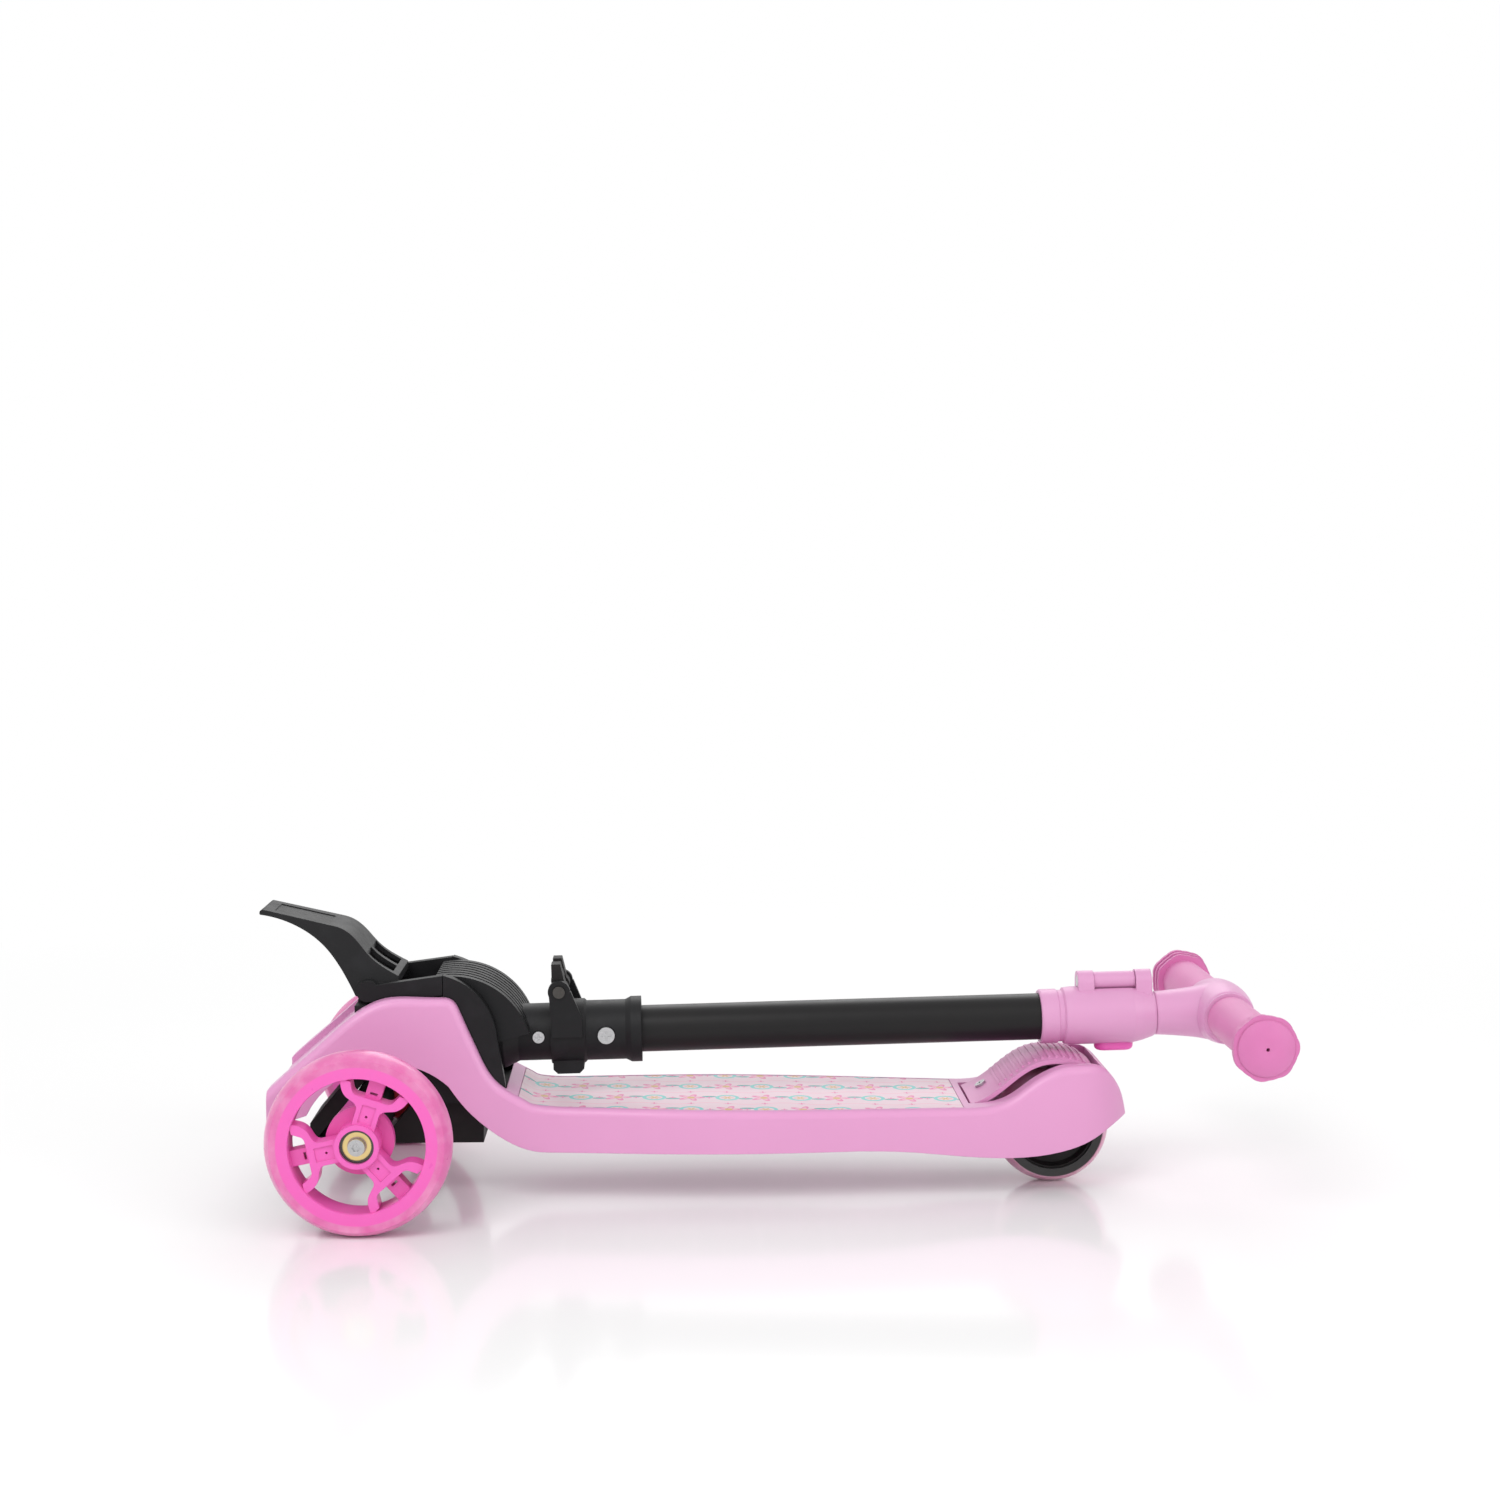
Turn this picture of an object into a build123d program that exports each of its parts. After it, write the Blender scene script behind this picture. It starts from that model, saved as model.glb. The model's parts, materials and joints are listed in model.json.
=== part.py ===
"""Folding three-wheel kick scooter for small children, shown folded, in millimetres.

Layout frame: X runs to the rear from the front axle, Y to the right, Z up from the floor.
The finished part is shifted along X so that its origin lies under the middle of its length.
"""

import os
from math import cos, radians, sin, tan

from build123d import *

# Running gear
WHEELBASE = 463
TRACK = 240
FRONT_WHEEL_DIAMETER = 120
FRONT_WHEEL_WIDTH = 24
FRONT_RIM_DIAMETER = 94
RIM_BAND = 3.5
RIM_RIB = 3
BEAD = 2.2
FRONT_LIP = 3.2
REAR_LIP = 1.5
SPOKE_COUNT = 3
SPOKE_START_ANGLE = 72
SPOKE_WIDTH = 15
FORK_RADIUS = 31.5
REAR_WHEEL_DIAMETER = 80
REAR_WHEEL_WIDTH = 26
REAR_CORE_DIAMETER = 62
AXLE_DIAMETER = 8
BEARING_DIAMETER = 22
BEARING_WIDTH = 7
BEARING_INSET = 3

# Deck and hood
WALL = 3.6
RIB = 2.6
RIB_LINE = 22
RIB_BAYS = 6
HOOD_HEIGHT = 139
DECK_HEIGHT = 65
DECK_BOTTOM = 35
DECK_DROP = 3.5
HOOD_FRONT = -68
HOOD_HALF_WIDTH = 64
WAIST_HALF_WIDTH = 50
DECK_HALF_WIDTH = 60
FENDER_HALF_WIDTH = 45
TAIL_HALF_WIDTH = 12
DECK_START = 124
TAIL_LENGTH = 50
WELL_HALF_WIDTH = 31.5
WELL_WALL = 3
CHANNEL_DEPTH = 5
CHANNEL_HALF_WIDTH = 44
MAT_THICKNESS = 1.2
MAT_SINK = 0.2
MAT_RIM = 6.5
EDGE_ROUND = 5

# Fold hinge, its housing and the release pedal
HINGE_X = 51.5
HINGE_Z = 97.5
HINGE_BOLT_DIAMETER = 10
DRUM_RADIUS = 54
DRUM_HALF_WIDTH = 33
DRUM_RIBS = 8
DRUM_END_ANGLE = 100.5
HOUSING_HALF_WIDTH = 42
CHEEK_WALL = 7.7
FLOOR_THICKNESS = 6
WEB_THICKNESS = 6
SCREW_DIAMETER = 5
PEDAL_PIN_DIAMETER = 6
PEDAL_WALL = 3
PEDAL_TIP_HALF_WIDTH = 21
PEDAL_FOOT_HALF_WIDTH = 33.5
EAR_INNER = 20
EAR_WALL = 6

# Steering truck
KINGPIN_HEIGHT = 72
KINGPIN_SLOPE = 40
KINGPIN_DIAMETER = 10
BOSS_RADIUS = 14
BOSS_HALF_LENGTH = 9
BUSH_LENGTH = 14.7
BUSH_RADIUS = 12
LUG_THICKNESS = 10
BEAM_SIZE = 22
BEAM_TIP_SIZE = 17
STUB_RADIUS = 6.5
AXLE_BOLT_DEPTH = 36
BRACKET_HALF_WIDTH = 26
BRACKET_PLATE = 5
BRACKET_FOOT = 12

# Fender brake
BRAKE_PIN_DIAMETER = 5
BRAKE_HALF_WIDTH = 29.5
BRAKE_CROWN = 1.8
BRAKE_SHEET = 3
BRAKE_RIBS = 14
BRAKE_RIB_HEIGHT = 1
BRAKE_REST_GAP = 5.4

# Column
FOLDED_TILT = 1.35
STEM_OFFSET = 8
TUBE_DIAMETER = 32
TUBE_WALL = 1.5
INNER_TUBE_DIAMETER = 25.4
STEM_BASE_LENGTH = 128
SHANK_RADIUS = 19.5
BAND_START = 66
BAND_END = 89
STEM_BOLT_DIAMETER = 5
LATCH_S = 72.9
LATCH_H = 39.4
LATCH_LENGTH = 18
LATCH_PIN_DIAMETER = 5
LATCH_EAR_INNER = 20.5
LATCH_EAR_WALL = 4.5
COLLAR_START = 403
COLLAR_LENGTH = 80
COLLAR_RADIUS = 20
LINER_LENGTH = 28
CLAMP_BOLT_DIAMETER = 5
CLAMP_HEAD_RADIUS = 4
CLAMP_HEAD_HEIGHT = 2.5
LEVER_THICKNESS = 4
BUTTON_LENGTH = 27
BUTTON_WIDTH = 14
BUTTON_HEIGHT = 6.4
BUTTON_TRAVEL = 2.5
HEIGHT_TRAVEL = 150

# Handle
HANDLE_REACH = 530
HANDLE_WIDTH = 262
HANDLE_BAR_DIAMETER = 22
T_HEAD_RADIUS = 19
T_HEAD_HALF_WIDTH = 27
HEAD_SCREW_SINK = 1.4
GRIP_DIAMETER = 31
GRIP_FLANGE_DIAMETER = 44
GRIP_LOBES = 7
GRIP_RINGS = 3

# Clearances
RUN_GAP = 0.05
SEAT_GAP = 0.3
SIDE_GAP = 0.4

# Values that follow from the ones above
REAR_AXLE_Z = REAR_WHEEL_DIAMETER / 2
DECK_END = WHEELBASE - 63
TAIL_X = WHEELBASE + TAIL_LENGTH
HOOD_BACK = HINGE_X - 4.5
NOSE_Z = HOOD_HEIGHT - 58.5
TAIL_Z = DECK_HEIGHT - 15
WELL_START = DECK_END + 2
WELL_END = WHEELBASE + 29.3
SLOT_FLOOR = HINGE_Z - 30.5
HOUSING_FRONT = HINGE_X - 63.5
HOUSING_REAR = HINGE_X + 36.5
SLOT_HALF_WIDTH = HOUSING_HALF_WIDTH + SIDE_GAP
CHEEK_INNER = HOUSING_HALF_WIDTH - CHEEK_WALL
HUB_FACE = CHEEK_INNER - 1
MAT_START = HOUSING_REAR + 9
MAT_END = DECK_END - 3
PEDAL_X = HINGE_X - 55
PEDAL_Z = HINGE_Z + 45.5
EAR_OUTER = EAR_INNER + EAR_WALL
BRACKET_BOTTOM = DECK_BOTTOM + 1
BRACKET_END = HINGE_X + 20.5
REAR_LUG_FACE = -BOSS_HALF_LENGTH - SEAT_GAP - BUSH_LENGTH
FRONT_LUG_FACE = BOSS_HALF_LENGTH + 1.5
HOUSING_SCREWS = [(HOUSING_REAR - 7, y) for y in (-26, 26)]
BRACKET_SCREWS = [(x, y) for x in (BRACKET_END - 32, BRACKET_END - 10) for y in (-15, 15)]
BRAKE_X = WHEELBASE - 53
BRAKE_Z = DECK_HEIGHT - 8.5
TUBE_ROOT = BAND_START + 8
TUBE_END = COLLAR_START + 14
INNER_TUBE_ROOT = TUBE_END - HEIGHT_TRAVEL - 60
INNER_TUBE_END = HANDLE_REACH - HANDLE_BAR_DIAMETER / 2 - 2
STEM_BOLTS = ((104, SHANK_RADIUS + 1, 5.75), (58, SHANK_RADIUS, 4))
COLLAR_END = COLLAR_START + COLLAR_LENGTH
CLAMP_RISE = COLLAR_RADIUS + 4
KNUCKLES = ((COLLAR_START + 27, COLLAR_START + 38), (COLLAR_START + 67, COLLAR_START + 78))
BUTTON_S = COLLAR_START + 52
BUTTON_FLOOR = COLLAR_RADIUS - 5
BUTTON_SEAT = BUTTON_FLOOR + BUTTON_TRAVEL + 0.7
NECK_START = COLLAR_END + SEAT_GAP
NECK_RADIUS = INNER_TUBE_DIAMETER / 2 + 2.3


# Helpers
def side_solid(outline, y_low, y_high):
    """Solid from an outline drawn in X and Z, between two values of Y."""
    face = Plane.XZ.offset(-y_high) * make_face(outline)
    return extrude(face, amount=y_high - y_low, dir=(0, -1, 0))


def both_sides(outline, y_near, y_far):
    """The same side solid on the left and on the right."""
    return side_solid(outline, -y_far, -y_near) + side_solid(outline, y_near, y_far)


def cross_pin(x, z, radius, y_low, y_high):
    """Cylinder along Y."""
    face = Plane((x, y_high, z), x_dir=(1, 0, 0), z_dir=(0, -1, 0)) * Circle(radius)
    return extrude(face, amount=y_high - y_low)


def block(x_low, x_high, y_low, y_high, z_low, z_high):
    """Box between two corners."""
    centre = ((x_low + x_high) / 2, (y_low + y_high) / 2, (z_low + z_high) / 2)
    return Pos(*centre) * Box(x_high - x_low, y_high - y_low, z_high - z_low)


def polygon(*points):
    """Closed straight-sided outline."""
    return Polyline(*points, close=True)


def turned(*points):
    """Solid of revolution about local Z, from radius and height pairs."""
    return revolve(Plane.XZ * make_face(polygon(*points)), Axis.Z)


def coil(radius, wire, turns, pitch):
    """Helical spring along local Z."""
    path = Helix(pitch, pitch * turns, radius)
    section = Plane(path @ 0, z_dir=path % 0) * Circle(wire / 2)
    return sweep(section, path)


def hex_head(across, height):
    """Hexagonal bolt head along local Z, from zero up."""
    return extrude(RegularPolygon(across / 2, 6, major_radius=False), height)


def cross_recess(size, depth):
    """Cutter for the cross slot of a screw head, about local Z zero."""
    slot = Box(size, size / 5, 2 * depth)
    return slot + Rot(0, 0, 90) * slot


def eroded(region, depth):
    """A face that is open below, drawn in by a depth from above and from both ends."""
    inner = Pos(0, -depth) * region
    for angle in (180, 225, 315, 360):
        inner &= Pos(depth * cos(radians(angle)), depth * sin(radians(angle))) * region
    return inner


def mirrored(low, high):
    """The same span of Y on the left and on the right, each in rising order."""
    return (-high, -low), (low, high)


def at_hinge(dx, dz):
    """Point in X and Z measured from the fold hinge."""
    return (HINGE_X + dx, HINGE_Z + dz)


def at_pedal(dx, dz):
    """Point in X and Z measured from the release pedal's pin."""
    return (PEDAL_X + dx, PEDAL_Z + dz)


# Frames of the moving groups
WHEEL_PLANES = {
    "left": Plane((0, -TRACK / 2, FRONT_WHEEL_DIAMETER / 2), x_dir=(1, 0, 0), z_dir=(0, -1, 0)),
    "right": Plane((0, TRACK / 2, FRONT_WHEEL_DIAMETER / 2), x_dir=(1, 0, 0), z_dir=(0, 1, 0)),
}
REAR_PLANE = Plane((WHEELBASE, 0, REAR_AXLE_Z), x_dir=(1, 0, 0), z_dir=(0, -1, 0))
KINGPIN_DIRECTION = (-cos(radians(KINGPIN_SLOPE)), 0, sin(radians(KINGPIN_SLOPE)))
KINGPIN_PLANE = Plane((0, 0, KINGPIN_HEIGHT), x_dir=(0, 1, 0), z_dir=KINGPIN_DIRECTION)
STEM_DIRECTION = (cos(radians(FOLDED_TILT)), 0, sin(radians(FOLDED_TILT)))
STEM_SIDE = Plane((HINGE_X, 0, HINGE_Z), x_dir=STEM_DIRECTION, z_dir=(0, -1, 0))
STEM_AXIS = Plane(STEM_SIDE.from_local_coords((0, STEM_OFFSET, 0)), x_dir=(0, 1, 0), z_dir=STEM_DIRECTION)
HANDLE_CENTRE = STEM_SIDE.from_local_coords((HANDLE_REACH, STEM_OFFSET, 0))
HANDLE_PLANES = {
    "left": Plane(HANDLE_CENTRE, x_dir=STEM_DIRECTION, z_dir=(0, -1, 0)),
    "right": Plane(HANDLE_CENTRE, x_dir=STEM_DIRECTION, z_dir=(0, 1, 0)),
}


def stem_solid(outline, y_low, y_high):
    """Solid from an outline drawn along the stem and across it, between two values of Y."""
    face = STEM_SIDE.offset(-y_high) * make_face(outline)
    return extrude(face, amount=y_high - y_low, dir=(0, -1, 0))


def stem_turned(*points):
    """Solid turned about the stem's axis, from radius and distance pairs."""
    return STEM_AXIS * turned(*points)


def stem_tube(radius, bore, start, end):
    """Tube on the stem's axis."""
    return stem_turned((bore, start), (radius, start), (radius, end), (bore, end))


def stem_rod(s, h, radius, y_low, y_high):
    """Cylinder along Y at a place on the stem."""
    face = STEM_SIDE.offset(-y_high) * (Pos(s, h) * Circle(radius))
    return extrude(face, amount=y_high - y_low, dir=(0, -1, 0))


def below_stem(s):
    """Plane square to the stem's underside, looking down from the stem's axis."""
    origin = STEM_SIDE.from_local_coords((s, STEM_OFFSET, 0))
    return Plane(origin, x_dir=STEM_DIRECTION, z_dir=-STEM_SIDE.y_dir)


# Deck shell
def roof_edges():
    """Upper outline of the body in X and Z, from the hood's front to the tail."""
    hood = Spline(
        (HOOD_FRONT, NOSE_Z), (HOOD_FRONT + 18, HOOD_HEIGHT - 42.5), (HOOD_FRONT + 36, HOOD_HEIGHT - 27),
        (HOUSING_FRONT - 2, HOOD_HEIGHT - 11.5), (HOUSING_FRONT + 14, HOOD_HEIGHT - 2.2),
        (HOOD_BACK, HOOD_HEIGHT), tangents=[(1, 0.95), (1, 0)],
    )
    run = DECK_START - HOOD_BACK
    drop = HOOD_HEIGHT - DECK_HEIGHT
    steps = ((0, 1), (0.15, 0.86), (0.3, 0.505), (0.5, 0.187), (0.7, 0.065), (1, 0))
    slope = Spline(
        [(HOOD_BACK + a * run, DECK_HEIGHT + b * drop) for a, b in steps], tangents=[(1, 0), (1, -0.06)],
    )
    deck_end = (DECK_END, DECK_HEIGHT - DECK_DROP)
    deck = Line((DECK_START, DECK_HEIGHT), deck_end)
    crest = (TAIL_X - 30, REAR_WHEEL_DIAMETER + 8.5)
    fender = Spline(
        deck_end, (WHEELBASE - 35, DECK_HEIGHT + 1.5), (WHEELBASE - 17, REAR_WHEEL_DIAMETER - 1),
        (WHEELBASE - 2, REAR_WHEEL_DIAMETER + 6.5), crest,
        tangents=[(1, 0), (1, 0.02)],
    )
    tail = Spline(
        crest, (TAIL_X - 13, REAR_WHEEL_DIAMETER), (TAIL_X - 4.5, TAIL_Z + 16), (TAIL_X, TAIL_Z),
        tangents=[(1, 0.02), (0.25, -1)],
    )
    return [hood, slope, deck, fender, tail]


def roof_region():
    """Everything below the body's upper outline, down past the floor."""
    below = -30
    sides = Polyline((TAIL_X, TAIL_Z), (TAIL_X, below), (HOOD_FRONT, below), (HOOD_FRONT, NOSE_Z))
    return make_face(roof_edges() + [sides])


def body_profile():
    """Side outline of the body, with the arch over the front axle."""
    flat_end = (WHEELBASE - 138, DECK_BOTTOM)
    flat_start = (DECK_START - 8, DECK_BOTTOM)
    arch_rear = (DECK_START - 73, DECK_BOTTOM + 45)
    arch_front = (HOOD_FRONT + 26, DECK_BOTTOM + 29)
    under_tail = Spline(
        (TAIL_X, TAIL_Z), (WHEELBASE + 23, DECK_BOTTOM + 3), (WHEELBASE - 23, DECK_BOTTOM - 7.5),
        (WHEELBASE - 91, DECK_BOTTOM - 3), flat_end,
        tangents=[(-1, -0.25), (-1, 0.03)],
    )
    throat = Spline(
        flat_start, (DECK_START - 26, DECK_BOTTOM + 3.5), (DECK_START - 53.5, DECK_BOTTOM + 21.5), arch_rear,
        tangents=[(-1, 0), (-0.65, 1)],
    )
    arch = ThreePointArc(arch_rear, (2, KINGPIN_HEIGHT + 24), arch_front)
    front = Polyline(arch_front, (HOOD_FRONT, DECK_BOTTOM + 21), (HOOD_FRONT, NOSE_Z))
    return make_face(roof_edges() + [under_tail, Line(flat_end, flat_start), throat, arch, front])


def plan_side(sign, inset):
    """One long side of the plan outline."""
    half_widths = (
        (HOOD_FRONT - 2, HOOD_HALF_WIDTH),
        (0, (HOOD_HALF_WIDTH + WAIST_HALF_WIDTH) / 2),
        (HOUSING_REAR - 8, WAIST_HALF_WIDTH),
        (DECK_START + 96, DECK_HALF_WIDTH),
        (DECK_END, FENDER_HALF_WIDTH + 4),
        (WHEELBASE, FENDER_HALF_WIDTH),
        (WHEELBASE + 27, FENDER_HALF_WIDTH - 6),
        (TAIL_X + 1 - inset, TAIL_HALF_WIDTH),
    )
    return Spline(
        [(x, sign * (half - inset)) for x, half in half_widths],
        tangents=[(1, -0.02 * sign), (0.35, -sign)],
    )


def plan_outline(inset):
    """Plan view of the body drawn in by an inset: wide hood, narrow waist, rounded tail."""
    right, left = plan_side(1, inset), plan_side(-1, inset)
    return make_face([right, Line(right @ 0, left @ 0), left, Line(right @ 1, left @ 1)])


def roof_layer(top_depth, bottom_depth, half_width):
    """Layer of the body between two depths below its upper outline."""
    solid = side_solid(roof_region().edges(), -half_width, half_width)
    return Pos(0, 0, -top_depth) * solid - Pos(0, 0, -bottom_depth) * solid


def mat_outline(margin):
    """Plan outline of the mat, inset from the rim, between the fold housing and the brake."""
    window = Rectangle(MAT_END - MAT_START + 2 * margin, 2 * DECK_HALF_WIDTH)
    return plan_outline(MAT_RIM - margin) & Pos((MAT_START + MAT_END) / 2, 0) * window


def deck_ribs():
    """Ribs under the deck, walls of the wheel well and the web that carries the fold housing."""
    low = DECK_BOTTOM + 5
    high = HOOD_HEIGHT
    wide = HOOD_HALF_WIDTH
    ribs = []
    for y in (-RIB_LINE, RIB_LINE):
        ribs.append(block(HOUSING_REAR + 17, DECK_END, y - RIB / 2, y + RIB / 2, low, high))
    bay = (DECK_END - RIB / 2 - DECK_START) / RIB_BAYS
    for count in range(RIB_BAYS + 1):
        x = DECK_START + count * bay
        ribs.append(block(x - RIB / 2, x + RIB / 2, -wide, wide, low, high))
    for span in mirrored(WELL_HALF_WIDTH, WELL_HALF_WIDTH + WELL_WALL):
        ribs.append(block(DECK_END - RIB, WELL_END + WELL_WALL, *span, DECK_BOTTOM - 1, high))
    half = WELL_HALF_WIDTH
    ribs.append(block(WELL_END, WELL_END + WELL_WALL, -half, half, DECK_BOTTOM + 11, high))
    ribs.append(block(BRACKET_END + 2, HOUSING_REAR + 8, -wide, wide, SLOT_FLOOR - WEB_THICKNESS, SLOT_FLOOR))
    return ribs


def top_edges(solid):
    """Long edges where the body's upper surface meets its sides."""
    limit = KINGPIN_HEIGHT + 28
    return [
        edge for edge in solid.edges()
        if edge.length > 40 and abs(edge.center().Y) > 20 and edge.center().Z > DECK_BOTTOM + 23
        and (edge.center().Z > limit or edge.center().X > HINGE_X)
    ]


def deck_shell():
    """Moulded body: hood, deck and fender in one, open underneath, with ribs."""
    tall = 2 * HOOD_HEIGHT
    wide = HOOD_HALF_WIDTH + 10
    outer = side_solid(body_profile().edges(), -wide, wide) & extrude(plan_outline(0), tall)
    outer = fillet(top_edges(outer), EDGE_ROUND)
    cavity = side_solid(eroded(roof_region(), WALL).edges(), -wide, wide)
    cavity &= extrude(Pos(0, 0, -HOOD_HEIGHT) * plan_outline(WALL), tall)
    room = outer & cavity
    shell = outer - cavity
    for rib in deck_ribs():
        shell += rib & room
    front = block(HOOD_FRONT - 5, HOUSING_FRONT + 1, -wide, wide, 0, HOOD_HEIGHT)
    shell += roof_layer(0, CHANNEL_DEPTH + WALL, CHANNEL_HALF_WIDTH + WALL) & front & room
    shell -= roof_layer(0, CHANNEL_DEPTH, CHANNEL_HALF_WIDTH) & front
    slot = (HOUSING_FRONT - 0.6, HOUSING_REAR + 0.6, -SLOT_HALF_WIDTH, SLOT_HALF_WIDTH)
    shell -= block(*slot, SLOT_FLOOR, tall)
    shell -= roof_layer(0, MAT_SINK + MAT_THICKNESS, wide) & extrude(mat_outline(SEAT_GAP), tall)
    well_span = (-WELL_HALF_WIDTH, WELL_HALF_WIDTH)
    well = block(WELL_START, WELL_END, *well_span, 0, tall)
    well += cross_pin(WHEELBASE, REAR_AXLE_Z, REAR_WHEEL_DIAMETER / 2 + 2.5, *well_span)
    shell -= well & extrude(plan_outline(WALL), tall)
    through = WELL_HALF_WIDTH + WELL_WALL
    shell -= cross_pin(WHEELBASE, REAR_AXLE_Z, AXLE_DIAMETER / 2 + RUN_GAP, -through, through)
    shell -= cross_pin(BRAKE_X, BRAKE_Z, BRAKE_PIN_DIAMETER / 2 + RUN_GAP, -through, through)
    for x, y in HOUSING_SCREWS:
        shell -= Pos(x, y, SLOT_FLOOR) * Cylinder(SCREW_DIAMETER / 2 + RUN_GAP, 2 * WEB_THICKNESS + 2)
    return shell


def deck_mat():
    """Thin mat laid in the recess of the deck."""
    layer = roof_layer(MAT_SINK, MAT_SINK + MAT_THICKNESS, HOOD_HALF_WIDTH)
    return layer & extrude(mat_outline(0), HOOD_HEIGHT)


# Fold housing
def cheek_outline():
    """Side outline of a housing cheek: ledge under the pedal's arm, round shoulder, foot on the deck."""
    seam = -4.6
    shoulder = ThreePointArc(at_hinge(seam, 56), at_hinge(21, 39.5), at_hinge(31, 13.5))
    rest = Polyline(
        at_hinge(31, 13.5), at_hinge(36.5, -18.5), (HOUSING_REAR, SLOT_FLOOR), (HINGE_X - 21.5, SLOT_FLOOR),
        at_hinge(-27.5, -5.5), (HOUSING_FRONT, HINGE_Z + 2.5), (HOUSING_FRONT, HINGE_Z + 36),
        at_hinge(-52.5, 36.5), at_hinge(seam, 41.9), at_hinge(seam, 56),
    )
    return [shoulder, rest]


def ear_outline():
    """Leg of an ear that carries the pedal pin, standing on the housing's front wall."""
    foot = HOUSING_FRONT - PEDAL_X
    return polygon(
        at_pedal(foot, -23), at_pedal(foot + 6, -23), at_pedal(3.5, -7), at_pedal(6.5, 0), at_pedal(-6.5, 0),
        at_pedal(foot, -10),
    )


def fold_housing():
    """Housing of the fold hinge: two cheeks on a floor, closed in front, with ears for the pedal pin."""
    half = HOUSING_HALF_WIDTH
    housing = both_sides(cheek_outline(), CHEEK_INNER, half)
    housing += block(HINGE_X - 21.5, HOUSING_REAR, -half, half, SLOT_FLOOR, SLOT_FLOOR + FLOOR_THICKNESS)
    housing += block(HOUSING_FRONT, HOUSING_FRONT + 6, -half, half, HINGE_Z + 2.5, HINGE_Z + 36)
    for span in mirrored(HUB_FACE + SEAT_GAP, half):
        housing += cross_pin(HINGE_X, HINGE_Z, HINGE_BOLT_DIAMETER / 2 + 9, *span)
    for span in mirrored(EAR_INNER, EAR_OUTER):
        housing += side_solid(ear_outline(), *span)
        housing += cross_pin(PEDAL_X, PEDAL_Z, PEDAL_PIN_DIAMETER / 2 + 3.5, *span)
    housing -= cross_pin(PEDAL_X, PEDAL_Z, PEDAL_PIN_DIAMETER / 2 + RUN_GAP, -EAR_OUTER - 1, EAR_OUTER + 1)
    housing -= cross_pin(HINGE_X, HINGE_Z, HINGE_BOLT_DIAMETER / 2 + RUN_GAP, -half - 1, half + 1)
    for x, y in HOUSING_SCREWS + BRACKET_SCREWS:
        housing -= Pos(x, y, SLOT_FLOOR) * Cylinder(SCREW_DIAMETER / 2 + RUN_GAP, 2 * FLOOR_THICKNESS - 1)
    return housing


def floor_screws(places, seat):
    """Pan-head screws from below into the housing's floor, heads under the seat's height."""
    top = SLOT_FLOOR + FLOOR_THICKNESS - 1
    screws = []
    for x, y in places:
        shank = Pos(x, y, (seat + top) / 2) * Cylinder(SCREW_DIAMETER / 2, top - seat)
        screws.append(shank + Pos(x, y, seat - 1.5) * Cylinder(SCREW_DIAMETER * 0.9, 3))
    return Compound(screws)


def hinge_bolt():
    """Fold hinge bolt with a low round head on the left."""
    half = HOUSING_HALF_WIDTH
    radius = HINGE_BOLT_DIAMETER / 2
    bolt = cross_pin(HINGE_X, HINGE_Z, radius, -half, half + 3.5)
    return bolt + cross_pin(HINGE_X, HINGE_Z, radius + 3.5, -half - 3, -half)


def hinge_nut():
    """Low nut on the right end of the hinge bolt."""
    half = HOUSING_HALF_WIDTH
    nut = Plane((HINGE_X, half, HINGE_Z), z_dir=(0, 1, 0)) * hex_head(HINGE_BOLT_DIAMETER + 6, 3)
    return nut - cross_pin(HINGE_X, HINGE_Z, HINGE_BOLT_DIAMETER / 2 + RUN_GAP, half - 1, half + 5)


# Release pedal
PEDAL_TIP = at_pedal(-71.5, 52.8)
PEDAL_NOSE = at_pedal(-73.5, 49.5)
PEDAL_HEEL = at_pedal(19.5, 8.5)
ARM_INNER = CHEEK_INNER + 0.2
ARM_OUTER = HOUSING_HALF_WIDTH - 0.5
PIN_LEFT = 2 - ARM_OUTER


def pedal_top():
    """Upper outline of the release pedal, from its tip to the foot of its rear slope."""
    bend = at_pedal(-23.5, 41.6)
    slopes = [(1, -0.233), (1, -0.55)]
    crest = Spline(bend, at_pedal(-9, 32.5), at_pedal(0, 21.8), PEDAL_HEEL, tangents=slopes)
    return [Line(PEDAL_TIP, bend), crest]


def pedal_outline():
    """Side outline of the release pedal's body."""
    toe = at_pedal(-9, -4.5)
    foot = Polyline(PEDAL_HEEL, at_pedal(19.5, 3), at_pedal(-2.5, -6.5), toe)
    belly = Spline(toe, at_pedal(-19.5, 14.5), at_pedal(-30.5, 28.7), at_pedal(-53.5, 44), PEDAL_NOSE)
    tip = ThreePointArc(PEDAL_NOSE, at_pedal(-73.7, 51.7), PEDAL_TIP)
    return pedal_top() + [foot, belly, tip]


def pedal_draft(inset):
    """Drafted block that trims the pedal's width, narrow at the tip and wide at the foot."""
    tip = PEDAL_TIP_HALF_WIDTH - inset
    foot = PEDAL_FOOT_HALF_WIDTH - inset
    top, knee, bottom = PEDAL_Z + 63, PEDAL_Z - 9, PEDAL_Z - 33
    section = make_face(polygon(
        (-tip, top), (tip, top), (foot, knee), (foot, bottom), (-foot, bottom), (-foot, knee),
    ))
    return extrude(Plane.YZ.offset(PEDAL_X - 100) * section, amount=200)


def pedal_arm():
    """Side arm that lies on the housing beside the drum."""
    return polygon(
        at_pedal(-4, -6.2), at_pedal(3, -7.4), at_pedal(50, -3), at_pedal(50, 10.2), at_pedal(0, 3.5),
    )


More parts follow.
